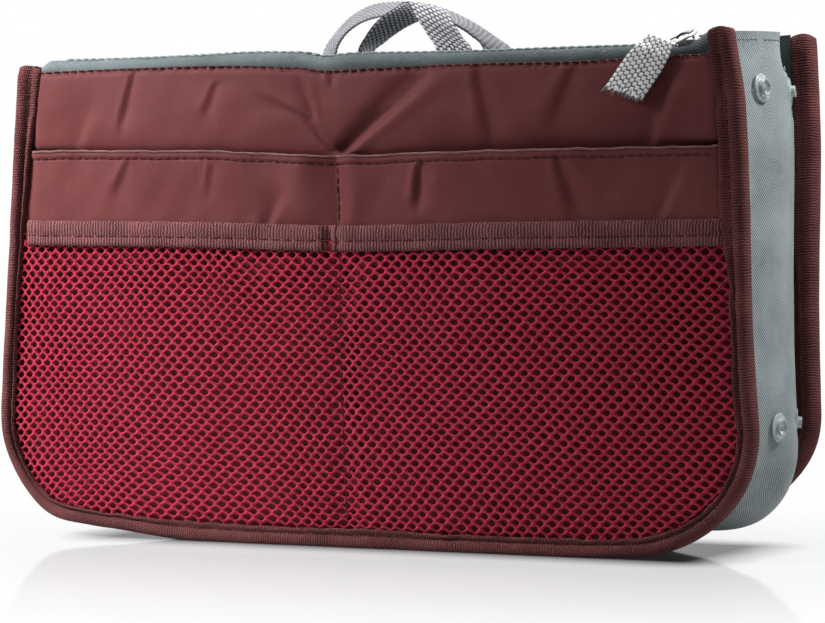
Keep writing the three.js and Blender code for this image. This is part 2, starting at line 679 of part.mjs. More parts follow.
function handleEnd(handle, x) {
  const half = STRAP_WIDTH / 2;
  const thick = STRAP_THICKNESS / 2;
  const bottom = HANDLE_FOLD - HANDLE_END;
  return box(x - half, x + half, bottom, HANDLE_FOLD - handle.gap, handle.out - thick, handle.out + thick);
}

add(frontWall, "front_handle_loop", handleLoop(FRONT_HANDLE, 0));
add(frontWall, "front_handle_left_end", handleEnd(FRONT_HANDLE, FRONT_HANDLE.left));
add(frontWall, "front_handle_right_end", handleEnd(FRONT_HANDLE, FRONT_HANDLE.right));
add(rearWall, "rear_handle_loop", handleLoop(REAR_HANDLE, -REAR_HANDLE_LEAN));
add(rearWall, "rear_handle_left_end", handleEnd(REAR_HANDLE, REAR_HANDLE.right));
add(rearWall, "rear_handle_right_end", handleEnd(REAR_HANDLE, REAR_HANDLE.left));

export default organizer;
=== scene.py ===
"""Looks of the purse organizer insert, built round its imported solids.

Shapes are in millimetres, in a wall's own frame: x across as seen from the front, up, and out of the bag.
"""
import math

import bmesh
import bpy
import numpy as np
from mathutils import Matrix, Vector


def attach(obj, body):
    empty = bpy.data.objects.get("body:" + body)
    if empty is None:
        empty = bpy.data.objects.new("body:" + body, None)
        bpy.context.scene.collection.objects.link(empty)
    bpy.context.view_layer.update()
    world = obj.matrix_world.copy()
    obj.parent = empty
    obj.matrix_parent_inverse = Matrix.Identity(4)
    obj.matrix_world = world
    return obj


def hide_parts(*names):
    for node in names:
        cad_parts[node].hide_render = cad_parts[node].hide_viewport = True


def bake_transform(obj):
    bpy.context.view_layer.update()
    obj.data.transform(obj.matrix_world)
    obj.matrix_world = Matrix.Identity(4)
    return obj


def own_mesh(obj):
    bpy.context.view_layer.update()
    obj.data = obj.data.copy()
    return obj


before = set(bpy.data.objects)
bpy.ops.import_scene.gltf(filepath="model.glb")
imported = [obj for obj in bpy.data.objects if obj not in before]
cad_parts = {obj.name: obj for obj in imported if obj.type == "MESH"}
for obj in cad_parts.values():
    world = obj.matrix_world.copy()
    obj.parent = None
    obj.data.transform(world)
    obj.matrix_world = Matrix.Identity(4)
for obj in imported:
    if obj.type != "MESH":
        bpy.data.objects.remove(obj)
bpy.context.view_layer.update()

MM = 0.001
TURN = 2 * math.pi
UV = "cloth"
WELD = 1e-6  # metres
OFF_AXIS = (0.31, 0.9, 0.23)  # a direction that no thread runs in
WHITE = (1, 1, 1, 1)

# Walls, as in the solids
WIDTH = 285.0
CORNER = 44.0
TAPER = math.radians(3.5)
FRONT_Y = -33.8
REAR_Y = 21.5
LEAN = math.radians(6)
BINDING_WIDTH = 8.0
FRONT_FACE = 5.3  # out of the wall to its binding's outer face
REAR_FACE = 3.7
REAR_LIFT = REAR_FACE * math.sin(LEAN)
CORNER_X = WIDTH / 2 - CORNER
FOOT_X = CORNER_X + CORNER * math.cos(TAPER)
FOOT_UP = CORNER + CORNER * math.sin(TAPER)
PANEL_INSET = 2.0
POCKET_INSET = 4.0
LINING_INSET = 9.6

# Cloth and sewing
NYLON = 0.5
HEM_STITCH = 2.45  # stitches below a hem's edge
SEAM_PITCH = 3.4  # from stitch to stitch in the zip's seam and in the bindings
THREAD_LIFT = 0.12  # from the cloth to the middle of a thread

# Camera, fitted to the photograph's edges
CAMERA_AT = (491.15, -1048.58, 105.05)
CAMERA_AZIMUTH = math.radians(25)
CAMERA_PITCH = math.radians(-1.27)
CAMERA_LENS = 144.9
CAMERA_SENSOR = 36


def smooth(low, high, value):
    t = np.clip((value - low) / (high - low), 0, 1)
    return t * t * (3 - 2 * t)


def bell(value, centre, width):
    return np.exp(-(((value - centre) / width) ** 2))


def ripple(a, b, size, seed, octaves=3):
    """Smooth unevenness between about -1 and 1 with hollows a size apart."""
    draw = np.random.default_rng(seed)
    total = 0.0
    for octave in range(octaves):
        rate = TURN / size * 1.9**octave
        for _ in range(3):
            angle, phase = draw.uniform(0, TURN, 2)
            total = total + 0.5**octave * np.sin(rate * (a * math.cos(angle) + b * math.sin(angle)) + phase)
    return total / 3


def curve_through(places, value):
    """A smooth curve through places (at, height), for any value between them."""
    at, height = np.array(places, float).T
    pitch = np.diff(height) / np.diff(at)
    turning = pitch[:-1] * pitch[1:] <= 0
    mean = 2 * pitch[:-1] * pitch[1:] / np.where(turning, 1, pitch[:-1] + pitch[1:])
    slope = np.r_[pitch[0], np.where(turning, 0, mean), pitch[-1]]
    i = np.clip(np.searchsorted(at, value) - 1, 0, len(at) - 2)
    gap = at[i + 1] - at[i]
    t = np.clip((value - at[i]) / gap, 0, 1)
    a = (1 + 2 * t) * (1 - t) ** 2 * height[i] + t * (1 - t) ** 2 * gap * slope[i]
    return a + t * t * (3 - 2 * t) * height[i + 1] + t * t * (t - 1) * gap * slope[i + 1]


def catmull(points, count):
    """A smooth line through points."""
    points = np.asarray(points, float)
    padded = np.concatenate([2 * points[:1] - points[1:2], points, 2 * points[-1:] - points[-2:-1]])
    t = np.linspace(0, len(points) - 1, count)
    i = np.clip(t.astype(int), 0, len(points) - 2)
    f = (t - i)[:, None]
    a, b, c, d = padded[i], padded[i + 1], padded[i + 2], padded[i + 3]
    return 0.5 * (2 * b + (c - a) * f + (2 * a - 5 * b + 4 * c - d) * f**2 + (3 * b - a - 3 * c + d) * f**3)


def unit(vectors):
    return vectors / np.linalg.norm(vectors, axis=-1, keepdims=True)


def passed_along(points):
    """Length of the way from the first point to each of them."""
    return np.r_[0, np.cumsum(np.linalg.norm(np.diff(points, axis=0), axis=1))]


def at_lengths(points, passed, at):
    """Points at given lengths along a line whose points stand at the lengths passed."""
    return np.stack([np.interp(at, passed, column) for column in points.T], -1)


def round_section(way, count, off_axis=OFF_AXIS):
    """Directions to the points of a round section, across each direction of a line."""
    side = unit(np.cross(way, off_axis))
    lift = np.cross(way, side)
    angle = np.arange(count) * TURN / count
    return np.cos(angle)[:, None] * side[:, None] + np.sin(angle)[:, None] * lift[:, None]


def section_uv(along, around):
    """Places on the cloth for each point of a section, at each place along its run."""
    return np.stack(np.broadcast_arrays(along[:, None], around[None]), -1)


def half_width(up, inset=0.0):
    """Half of a wall's width at a height, moved in by an inset."""
    up = np.asarray(up, float)
    radius = CORNER - inset
    drop = np.clip(CORNER - up, 0, radius)
    corner = CORNER_X + np.sqrt(radius * radius - drop * drop)
    side = FOOT_X - inset / math.cos(TAPER) - (up - FOOT_UP) * math.tan(TAPER)
    return np.where(up < CORNER, corner, np.minimum(side, WIDTH / 2 - inset))


def across_wall(up, inset, count):
    """Places across a wall at a height, from an inset on its left to one on its right."""
    return np.linspace(-1, 1, count) * (half_width(up) - inset)


def edge_inset(x, up):
    """How far in from a wall's edge places are."""
    beyond = np.abs(x) - CORNER_X
    below = CORNER - up
    rounded = (beyond > 0) & (below > 0)
    side = half_width(np.maximum(up, CORNER)) - np.abs(x)
    return np.where(rounded, CORNER - np.hypot(beyond, below), np.minimum(side, up))


def front(x, up, out):
    """Places of the front wall's points: its lower corners stand off the ground and its sides draw in."""
    x, up, out = np.broadcast_arrays(x, up, out)
    lift = smooth(40, 0, up) * (3.9 * bell(x, -105, np.where(x < -105, 15, 27)) + 1.7 * smooth(70, 120, x))
    drawn = smooth(-105, -140, x) - 2.0 * smooth(95, 140, x) * bell(up, 68, 44)
    drawn = drawn - 2.2 * smooth(100, 132, x) * smooth(148, 173, up)
    return np.stack([x + drawn, FRONT_Y - out, up + lift], -1)


def rear(x, up, out):
    """Places of the rear wall's points: it leans back and stands off the ground at its lower corners."""
    x, up, out = np.broadcast_arrays(x, up, out)
    c, s = math.cos(LEAN), math.sin(LEAN)
    drawn = 1.3 * smooth(95, 140, np.abs(x)) * (bell(up, 60, 55) - 0.8 * bell(up, 140, 30))
    up = up + 7.5 * smooth(52, 0, up) * smooth(60, 125, np.abs(x))
    return np.stack([x - np.sign(x) * drawn, REAR_Y + out * c + up * s, REAR_LIFT + up * c - out * s], -1)


# Meshes


def grid_faces(rows, columns, wrap=False, wrap_rows=False):
    """Faces of a grid of points, which may close round its columns and its rows."""
    index = np.arange(rows * columns).reshape(rows, columns)
    if wrap:
        index = np.concatenate([index, index[:, :1]], 1)
    if wrap_rows:
        index = np.concatenate([index, index[:1]], 0)
    corners = [index[:-1, :-1], index[:-1, 1:], index[1:, 1:], index[1:, :-1]]
    return np.stack(corners, -1).reshape(-1, 4)


def tube_faces(rows, columns, tubes=1):
    """Faces of tubes with closed ends, one after the other, each made of rows of rings."""
    tube = grid_faces(rows, columns, True).tolist()
    tube += [list(range(columns)), list(range((rows - 1) * columns, rows * columns))]
    return [[rows * columns * i + k for k in face] for i in range(tubes) for face in tube]


def piece(name, points, faces, material, uv=None, closed=False, weld=False):
    """A mesh of points in mm, each with a place on the cloth, in mm too. A closed one faces outwards."""
    mesh = bpy.data.meshes.new(name)
    points = np.asarray(points, float).reshape(-1, 3) * MM
    mesh.from_pydata(points.tolist(), [], [list(map(int, f)) for f in faces])
    if closed:
        work = bmesh.new()
        work.from_mesh(mesh)
        if weld:
            bmesh.ops.remove_doubles(work, verts=work.verts, dist=WELD)
        bmesh.ops.recalc_face_normals(work, faces=work.faces)
        work.to_mesh(mesh)
        work.free()
    if uv is None:
        uv = np.zeros((len(points), 2))
    index = np.zeros(len(mesh.loops), np.int32)
    mesh.loops.foreach_get("vertex_index", index)
    layer = mesh.uv_layers.new(name=UV)
    layer.data.foreach_set("uv", np.asarray(uv, np.float32).reshape(-1, 2)[index].ravel())
    mesh.polygons.foreach_set("use_smooth", np.ones(len(mesh.polygons), bool))
    mesh.materials.append(material)
    obj = bpy.data.objects.new(name, mesh)
    bpy.context.scene.collection.objects.link(obj)
    return obj


def mark(obj, name, values):
    """Gives each point of a mesh a value that its look reads by name."""
    attribute = obj.data.attributes.new(name, "FLOAT", "POINT")
    attribute.data.foreach_set("value", values.astype(np.float32).ravel())


def thicken(obj, thickness):
    cloth = obj.modifiers.new("thickness", "SOLIDIFY")
    cloth.thickness = thickness * MM
    cloth.offset = -1.0
    return obj


def dress(obj, body, slot, *replaced):
    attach(obj, body)
    if replaced:
        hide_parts(*replaced)
    return obj


def wall_sheet(name, place, inset, shares, top, out, columns, material, flip=False):
    """A sewn panel with rows at shares of its height: top(x) is its top edge and out(x, up) its shape."""
    share = np.asarray(shares, float)[:, None]
    across = np.linspace(-1, 1, columns)[None, :]
    nominal = inset + share * (float(top(np.array(0.0))) - inset)
    x = half_width(nominal, inset) * across
    up = inset + share * (top(x) - inset)
    faces = grid_faces(len(shares), columns)
    uv = np.stack(np.broadcast_arrays(x, up), -1)
    obj = piece(name, place(x, up, out(x, up)), faces[:, ::-1] if flip else faces, material, uv)
    return thicken(obj, NYLON)


def stitches(name, runs, material, pitch=3.2, filled=0.72, radius=0.22):
    """Rows of single stitches along runs of points, each as long as the filled share of the pitch."""
    starts, ends = [], []
    for run in runs:
        run = np.asarray(run, float)
        passed = passed_along(run)
        at = np.arange(int(passed[-1] // pitch)) * pitch
        for ahead, held in ((0, starts), (filled * pitch, ends)):
            held.append(at_lengths(run, passed, at + ahead))
    a, b = np.concatenate(starts), np.concatenate(ends)
    share = np.array([0, 0.14, 0.5, 0.86, 1.0])
    thick = radius * np.array([0.35, 1, 1.1, 1, 0.35])
    sides = 6
    middle = a[:, None] + (b - a)[:, None] * share[None, :, None]
    points = middle[:, :, None] + thick[None, :, None, None] * round_section(unit(b - a), sides)[:, None]
    return piece(name, points, tube_faces(len(share), sides, len(a)), material, closed=True)


def cord(name, run, radius, material):
    """A thin round edge along a run of points."""
    sides = 8
    points = run[:, None] + radius * round_section(unit(np.gradient(run, axis=0)), sides)
    uv = np.repeat(run[:, :2], sides, 0)
    return piece(name, points, tube_faces(len(run), sides), material, uv, closed=True)


# Materials


def srgb(red, green, blue):
    c = np.array([red, green, blue]) / 255
    linear = np.where(c <= 0.04045, c / 12.92, ((c + 0.055) / 1.055) ** 2.4)
    return (*linear.tolist(), 1.0)


class Nodes:
    """Shader nodes in the making, in one tree."""

    def __init__(self, tree):
        self.tree = tree

    def node(self, kind, *places, settings=None, **inputs):
        made = self.tree.nodes.new("ShaderNode" + kind)
        for key, value in (settings or {}).items():
            setattr(made, key, value)
        named = [(key.replace("_", " "), value) for key, value in inputs.items()]
        for key, value in [*enumerate(places), *named]:
            self.feed(made.inputs[key], value)
        return made

    def feed(self, socket, value):
        if isinstance(value, bpy.types.NodeSocket):
            self.tree.links.new(value, socket)
        else:
            socket.default_value = value

    def math(self, operation, *values):
        return self.node("Math", *values, settings={"operation": operation}).outputs[0]

    def vector(self, operation, *values):
        return self.node("VectorMath", *values, settings={"operation": operation}).outputs[0]

    def spread(self, value, low, high, to_low=0.0, to_high=1.0):
        return self.node("MapRange", value, low, high, to_low, to_high).outputs[0]

    def seen(self):
        """1 for rays that make the picture, also in mirrors and clear pieces, and 0 for those of light."""
        ray = self.node("LightPath").outputs
        seen = self.math("MAXIMUM", ray["Is Camera Ray"], ray["Is Glossy Ray"])
        return self.math("MAXIMUM", seen, ray["Is Transmission Ray"])


class Look(Nodes):
    """A node material in the making, on one Principled shader."""

    def __init__(self, name, **sockets):
        self.material = bpy.data.materials.new(name)
        self.material.use_nodes = True
        super().__init__(self.material.node_tree)
        self.shader = self.tree.nodes["Principled BSDF"]
        self.finish(**sockets)

    def cloth_place(self):
        place = self.node("UVMap", settings={"uv_map": UV}).outputs[0]
        parts = self.node("SeparateXYZ", place)
        return place, parts.outputs[0], parts.outputs[1]

    def marked(self, name):
        return self.node("Attribute", settings={"attribute_name": name}).outputs["Fac"]

    def sine(self, value, pitch):
        return self.math("SINE", self.math("MULTIPLY", value, TURN / pitch))

    def lifted(self, wave):
        """A wave between -1 and 1, brought between 0 and 1."""
        return self.math("MULTIPLY_ADD", wave, 0.5, 0.5)

    def vary(self, share, value, by):
        """A share that changes by as much as a value stands off its middle, 0.5."""
        return self.math("MULTIPLY_ADD", self.math("SUBTRACT", value, 0.5), by, share)

    def noise(self, size, detail=3.0, place=None):
        """Noise between 0 and 1 with spots of a size in metres, or in mm on the cloth's own places."""
        if place is None:
            place = self.node("TexCoord").outputs["Object"]
        return self.node("TexNoise", Vector=place, Scale=1 / size, Detail=detail).outputs["Fac"]

    def mix(self, share, low, high):
        made = self.node("Mix", settings={"data_type": "RGBA"})
        for socket, value in zip((made.inputs[0], made.inputs[6], made.inputs[7]), (share, low, high)):
            self.feed(socket, value)
        return made.outputs[2]

    def bump(self, height, depth, strength=1.0, normal=None):
        made = self.node("Bump", Strength=strength, Distance=depth * MM, Height=height)
        if normal is not None:
            self.feed(made.inputs["Normal"], normal)
        return made.outputs[0]

    def finish(self, **sockets):
        for key, value in sockets.items():
            self.feed(self.shader.inputs[key.replace("_", " ")], value)
        return self.material


def nylon_look(name, dark, light, pitch, weave_depth, contrast, streaks, fold_shade_colour=None, **sockets):
    """Plain-weave cloth with threads a pitch apart, wrinkles, streaks, clouds and, if given, a colour of
    painted shade for folds that a mesh marks.
    """
    look = Look(name, **sockets)
    place, across, along = look.cloth_place()
    weave = look.lifted(look.math("MULTIPLY", look.sine(across, pitch), look.sine(along, pitch)))
    fine = look.noise(1.7, 2.0, place)
    streak = look.noise(2.2, 3.0, look.vector("MULTIPLY", place, (1, 0.06, 1)))
    share = look.vary(look.noise(22.0, 3.0, place), weave, contrast)
    share = look.vary(look.vary(share, fine, 0.35), streak, streaks)
    colour = look.mix(share, dark, light)
    if fold_shade_colour is not None:
        colour = look.mix(look.marked("painted_fold_shade"), colour, fold_shade_colour)
    wrinkle = look.bump(look.noise(9.0, 3.0, place), 0.5, 0.45)
    wrinkle = look.bump(streak, 0.17 * streaks, 0.5, wrinkle)
    normal = look.bump(weave, weave_depth, 0.8, wrinkle)
    rough = look.spread(fine, 0.2, 0.8, sockets["Roughness"] - 0.06, sockets["Roughness"] + 0.08)
    return look.finish(Base_Color=colour, Normal=normal, Roughness=rough)


def ribbed_look(name, dark, light, pitch, contrast, **sockets):
    """Ribbed tape: cords across its length, each bound by finer threads."""
    look = Look(name, Sheen_Weight=0.03, Sheen_Roughness=0.5, **sockets)
    place, along, across = look.cloth_place()
    rib = look.lifted(look.sine(look.math("MULTIPLY_ADD", look.noise(4.0, 2.0, place), 1.3, along), pitch))
    bound = look.lifted(look.sine(look.math("MULTIPLY_ADD", along, 0.5, across), 0.8))
    weave = look.math("MULTIPLY_ADD", bound, 0.45, look.math("MULTIPLY", rib, 0.6))
    cloudy = look.noise(14.0, 4.0, place)
    colour = look.mix(look.vary(cloudy, weave, contrast), dark, light)
    normal = look.bump(weave, 0.35, 0.9, look.bump(cloudy, 0.6, 0.4))
    return look.finish(Base_Color=colour, Normal=normal)


def thread_look(name, dark, light):
    """Threads with fine fibres."""
    look = Look(name, Roughness=0.5, Specular_IOR_Level=0.12, Sheen_Weight=0.05, Sheen_Roughness=0.4)
    place, across, along = look.cloth_place()
    fibre = look.math("MULTIPLY", look.sine(across, 0.45), look.sine(along, 0.38))
    share = look.math("MULTIPLY_ADD", fibre, 0.2, look.noise(3.0, 3.0, place))
    return look.finish(Base_Color=look.mix(share, dark, light), Normal=look.bump(fibre, 0.15, 0.6))


def webbing_look(name, dark, light, low, high):
    """Coarse webbing: dark where its woven bumps are under low, and light where they pass high."""
    look = Look(name, Roughness=0.55, Specular_IOR_Level=0.25, Sheen_Weight=0.08, Sheen_Roughness=0.5)
    place, across, along = look.cloth_place()
    fibre = look.math("MULTIPLY", look.sine(across, 0.24), look.sine(along, 1.3))
    share = look.vary(look.spread(look.marked("weave"), low, high), look.noise(2.5, 3.0, place), 0.5)
    return look.finish(Base_Color=look.mix(share, dark, light), Normal=look.bump(fibre, 0.06, 0.5))


def hard_look(name, dark, light, size, rough, **sockets):
    """Metal or plastic with faint clouds of a size in mm, and fine scratches."""
    look = Look(name, **sockets)
    cloudy = look.noise(size * MM, 4.0)
    scratched = look.noise(size * 0.12 * MM, 2.0)
    colour = look.mix(cloudy, dark, light)
    roughness = look.spread(scratched, 0.3, 0.7, rough * 0.7, rough * 1.3)
    return look.finish(Base_Color=colour, Roughness=roughness, Normal=look.bump(scratched, 0.03, 0.3))


FINE_NYLON = {
    "pitch": 0.42, "weave_depth": 0.05, "contrast": 0.25, "streaks": 0.4,
    "Sheen_Weight": 0.03, "Sheen_Roughness": 0.35,
}
COARSE_NYLON = {
    "streaks": 0.1,
    "Roughness": 0.55, "Specular_IOR_Level": 0.1, "Sheen_Weight": 0.05, "Sheen_Roughness": 0.4,
}
SLATE_WEAVE = {"pitch": 1.2, "weave_depth": 0.17, "contrast": 1.5, **COARSE_NYLON}
SLATES = (srgb(70, 80, 82), srgb(168, 178, 180))

BURGUNDY = nylon_look(
    "burgundy_nylon", srgb(90, 44, 45), srgb(109, 59, 59),
    Roughness=0.45, Specular_IOR_Level=0.07, **FINE_NYLON,
)
# Burgundy nylon made darker and redder for the cloth behind the net: painted shade of the net and painted
# red bounce light from it
NYLON_PAINTED_NET_SHADE = nylon_look(
    "nylon_painted_net_shade", srgb(82, 22, 30), srgb(104, 34, 42),
    Roughness=0.5, Specular_IOR_Level=0.05, **FINE_NYLON,
)
SLATE = nylon_look("slate_nylon", *SLATES, **SLATE_WEAVE)
# Slate with a dark colour painted into the gusset's tucked rear fold: painted shade
SLATE_PAINTED_FOLD_SHADE = nylon_look("slate_painted_fold_shade", *SLATES, fold_shade_colour=srgb(46, 53, 55), **SLATE_WEAVE)
TAPE = ribbed_look(
    "ribbed_tape", srgb(36, 15, 17), srgb(138, 88, 89), pitch=1.15, contrast=1.4,
    Roughness=0.65, Specular_IOR_Level=0.04,
)
EDGE_TAPE = ribbed_look(
    "edge_tape", srgb(40, 19, 20), srgb(122, 72, 71), pitch=0.9, contrast=1.15,
    Roughness=0.7, Specular_IOR_Level=0.03,
)
ZIP_TAPE = nylon_look(
    "zip_tape", srgb(48, 54, 56), srgb(126, 138, 140),
    pitch=0.95, weave_depth=0.14, contrast=1.2, **COARSE_NYLON,
)
WEBBING = webbing_look("grey_webbing", srgb(14, 15, 18), srgb(236, 236, 242), low=0.26, high=0.7)
WORN_WEBBING = webbing_look("worn_webbing", srgb(84, 85, 90), srgb(172, 172, 178), low=0.1, high=0.9)
# A paler copy of the grey webbing for the pull ribbon: painted light, lightened for the brighter light that
# the ribbon gets
WEBBING_PAINTED_LIGHT = webbing_look("webbing_painted_light", srgb(18, 18, 22), srgb(254, 254, 255), low=0.24, high=0.52)
TEETH = hard_look(
    "zip_teeth", srgb(84, 94, 97), srgb(124, 135, 137), size=8, rough=0.4, Specular_IOR_Level=0.4,
)
ENAMEL = hard_look("slider_enamel", srgb(46, 50, 52), srgb(74, 79, 81), size=6, rough=0.3, Metallic=0.6)
STEEL = hard_look("ring_steel", srgb(196, 192, 180), srgb(224, 221, 212), size=5, rough=0.18, Metallic=1.0)
STUD = hard_look(
    "clear_stud", srgb(176, 187, 187), srgb(212, 220, 219), size=5, rough=0.22,
    Transmission_Weight=0.6, IOR=1.3,
)
NET = thread_look("crimson_net", srgb(130, 16, 40), srgb(188, 50, 75))
# Paler colour of the hem's fold cord: painted highlight where the fold catches the light
HEM_PAINTED_HIGHLIGHT = thread_look("hem_painted_highlight", srgb(98, 64, 64), srgb(134, 98, 97))
# Near-black thread for the zip seam and the pockets' seam: real thread, darkened as painted shade of the
# puckers round its stitches
THREAD_PAINTED_PUCKER_SHADE = thread_look("thread_painted_pucker_shade", srgb(36, 12, 14), srgb(66, 24, 27))
RED_THREAD = thread_look("red_thread", srgb(52, 16, 20), srgb(88, 30, 36))
SLATE_THREAD = thread_look("slate_thread", srgb(84, 96, 98), srgb(132, 144, 145))
FIBRE = thread_look("grey_fibre", srgb(120, 120, 126), srgb(190, 190, 196))


# Front wall: lines across it as (x, up), and creases as start, end, width, depth and ridge
RIDGE = [
    (-128, 165.9), (-124, 167.8), (-111, 167.7), (-98, 167.7), (-64, 168.2), (-45, 168.7),
    (-25, 168.3), (-15, 166.8), (-6, 167.5), (30, 167.2), (71, 167.6), (112, 167.9),
    (117, 168.2), (121, 169.2), (124.5, 171.4), (128, 171.6),
]
ZIP_SEAM = [
    (-137, 162.6), (-120, 163.8), (-63, 164.6), (-24, 163.3), (-14, 162.0), (2, 162.4),
    (50, 163.2), (72, 163.1), (117, 164.3), (137, 164.6),
]
HEM_LINE = [(-137, 135.7), (-60, 134.9), (-9.4, 132.7), (45, 133.7), (137, 134.6)]
TAPE_LINE = [(-137, 111.3), (-60, 110.5), (-8.3, 109.3), (50, 110.2), (137, 111.3)]
PANEL_FOLDS = [
    ((-9.0, 133.2), (27.0, 162.8), 5.4, 3.2, 0.6),
    ((-10.2, 134.0), (-20.5, 146.5), 1.7, 1.4, 0.6),
    ((-18.5, 145.0), (-40, 153.5), 3.0, 0.8, 0.3),
    ((-17.1, 146.0), (-24, 160.0), 3.0, 1.0, 0.4),
    ((-13.0, 162.3), (-10.6, 156.5), 1.8, 1.0, 0.3),
    ((-88.6, 163.0), (-93.5, 142.0), 2.4, 0.95, 0.35),
    ((-55.6, 158.5), (-59.5, 146.0), 3.2, 0.7, 0.3),
    ((42.8, 161.5), (49.5, 136.0), 5.0, 1.1, 0.5),
    ((78.0, 161.0), (70.0, 139.0), 6.0, 0.8, 0.4),
    ((-112.0, 137.0), (-104.0, 157.0), 7.0, 0.5, 0.2),
    ((104.0, 136.0), (112.0, 160.0), 6.0, 0.8, 0.4),
]
POCKET_FOLDS = [
    ((22.6, 131.0), (27.5, 124.0), 1.9, 0.9, 0.4),
    ((22.4, 129.5), (21.2, 114.0), 3.2, 1.3, 0.6),
    ((73.0, 131.5), (80.5, 109.5), 5.0, 0.9, 0.5),
    ((-89.9, 131.5), (-95.5, 119.0), 3.2, 0.6, 0.3),
    ((-56.7, 130.5), (-58.5, 118.0), 2.8, 0.5, 0.3),
    ((-36.5, 108.0), (-30.0, 122.0), 4.5, 1.3, 0.4),
    ((108.0, 112.0), (116.0, 131.0), 5.0, 0.6, 0.3),
]
POCKET_TOP = 133.0  # about the height of the slip pockets' hem
POCKET_SEAM = (-9.4, 133.2)  # upper end of the seam between the pockets
POCKET_SEAM_SLOPE = 0.0326
POCKET_SEWN_OUT = 1.35  # where that seam holds the pockets' cloth
TAPE_UP = 106.0  # height at which the tape over the net's edge takes its length
UNDER_TAPE = 103.0  # height at which it follows the net's shape
TAPE_SEAM_X = -8.3
TAPE_GROOVE = -5.3


def ridge(x):
    """Height of the zip's top, which sags between the pockets."""
    return curve_through(RIDGE, x)


def zip_seam(x):
    return curve_through(ZIP_SEAM, x)


def pocket_seam_x(up):
    return POCKET_SEAM[0] + (POCKET_SEAM[1] - up) * POCKET_SEAM_SLOPE


def hem_top(x):
    return curve_through(HEM_LINE, x) + 0.22 * ripple(x, 0, 15, 15)


def tape_top(x):
    return curve_through(TAPE_LINE, x)


def fold(x, up, start, end, width, depth, ridge_height):
    """A pulled crease from start, where it is narrow, to end: its right side is steep, with a ridge."""
    way = np.array(end, float) - start
    length = np.hypot(*way)
    way /= length
    along = ((x - start[0]) * way[0] + (up - start[1]) * way[1]) / length
    beside = (x - start[0]) * way[1] - (up - start[1]) * way[0]
    spread = width * (0.45 + 0.55 * np.clip(along, 0, 1.2))
    fade = smooth(-0.12, 0.1, along) * (1 - smooth(0.6, 1.15, along))
    steep = np.where(beside < 0, 1.2, 0.5) * spread
    return fade * (ridge_height * bell(beside, 1.1 * spread, 0.7 * spread) - depth * bell(beside, 0, steep))


def folded(x, up, folds):
    return sum(fold(x, up, *each) for each in folds)


def lip_lost(x, up):
    """Share of the binding's lip that the swelling panels hide: none at the top, most beside the net."""
    beside_net = np.where(x < 0, smooth(165, 110, up), smooth(112, 88, up))
    return beside_net * (0.46 + 0.24 * smooth(-60, -110, x))


def beside_lip(x, up):
    """From 0 to 1 where a panel swells beside the binding's lip."""
    inset = half_width(up) - np.abs(x)
    return smooth(34, 11, inset) * smooth(6.5, 9.5, inset)


def hem_shape(below, doubled, groove, groove_width, turned, turn_width):
    """How far a hem stands out below its edge: doubled cloth, its stitches' groove and the turned edge."""
    shape = doubled * smooth(2.9, 2.3, below) - groove * bell(below, HEM_STITCH, groove_width)
    return shape - turned * smooth(turn_width, 0, below)


def panel_out(x, up):
    """The front panel: it swells out over the pockets' hem, and its creases run between the seams."""
    top = zip_seam(x)
    share = np.clip((up - POCKET_TOP) / (top - POCKET_TOP), 0, 1)
    rise = np.clip(up - hem_top(x) + 0.8, 0, None)
    right = smooth(-5, 45, x)
    swell = np.sin(math.pi * share)
    shape = 0.2 + (2.2 + right) * (1 - np.exp(-rise / (1.5 + 3.2 * right)))
    shape = shape + 0.7 * swell + 1.5 * beside_lip(x, up) * smooth(0, 0.15, share)
    shape = shape + 0.45 * ripple(x, up, 46, 3) * swell
    shape = shape + folded(x, up, PANEL_FOLDS) * smooth(0, 0.06, share)
    shape = shape + 0.12 * ripple(x, up, 7, 9) * smooth(0.8, 1, share)
    least = -1.5 + 2.6 * smooth(0.3, 0.58, share)
    shape = (shape + least + np.sqrt((shape - least) ** 2 + 0.25)) / 2
    below = top - up
    pull = 0.75 + 0.45 * np.sin(TURN * x / SEAM_PITCH) + 0.3 * ripple(x, 0, 9, 16)
    return shape - 0.7 * pull * bell(below, 1.0, 0.9) - smooth(0.6, 0, below)


def pocket_out(x, up):
    """The slip pockets' cloth: it gapes at the hem and is held in by the seam between the pockets."""
    beside = x - pocket_seam_x(up)
    gape = 3.0 * bell(beside, 66, 48) + 1.1 * bell(beside, -62, 46)
    pulled = np.exp(-np.abs(beside) / np.where(beside < 0, 5.5, 2.0))
    below = hem_top(x) - up
    shape = 1.5 + 1.4 * smooth(84, 112, up) + gape * smooth(110, 134, up) + 0.35 * ripple(x, up, 40, 5)
    shape = shape + folded(x, up, POCKET_FOLDS) + 1.1 * beside_lip(x, up) * smooth(104, 112, up)
    shape = shape + (2.4 * bell(beside, -13, 8) + bell(beside, 6, 5)) * smooth(104, 116, up)
    shape = POCKET_SEWN_OUT + (shape - POCKET_SEWN_OUT) * (1 - pulled)
    hem = hem_shape(below, doubled=0.55, groove=0.4, groove_width=0.45, turned=0.8, turn_width=0.55)
    return shape + hem + 0.15 * ripple(x, 0, 6, 12) * smooth(4, 0, below)


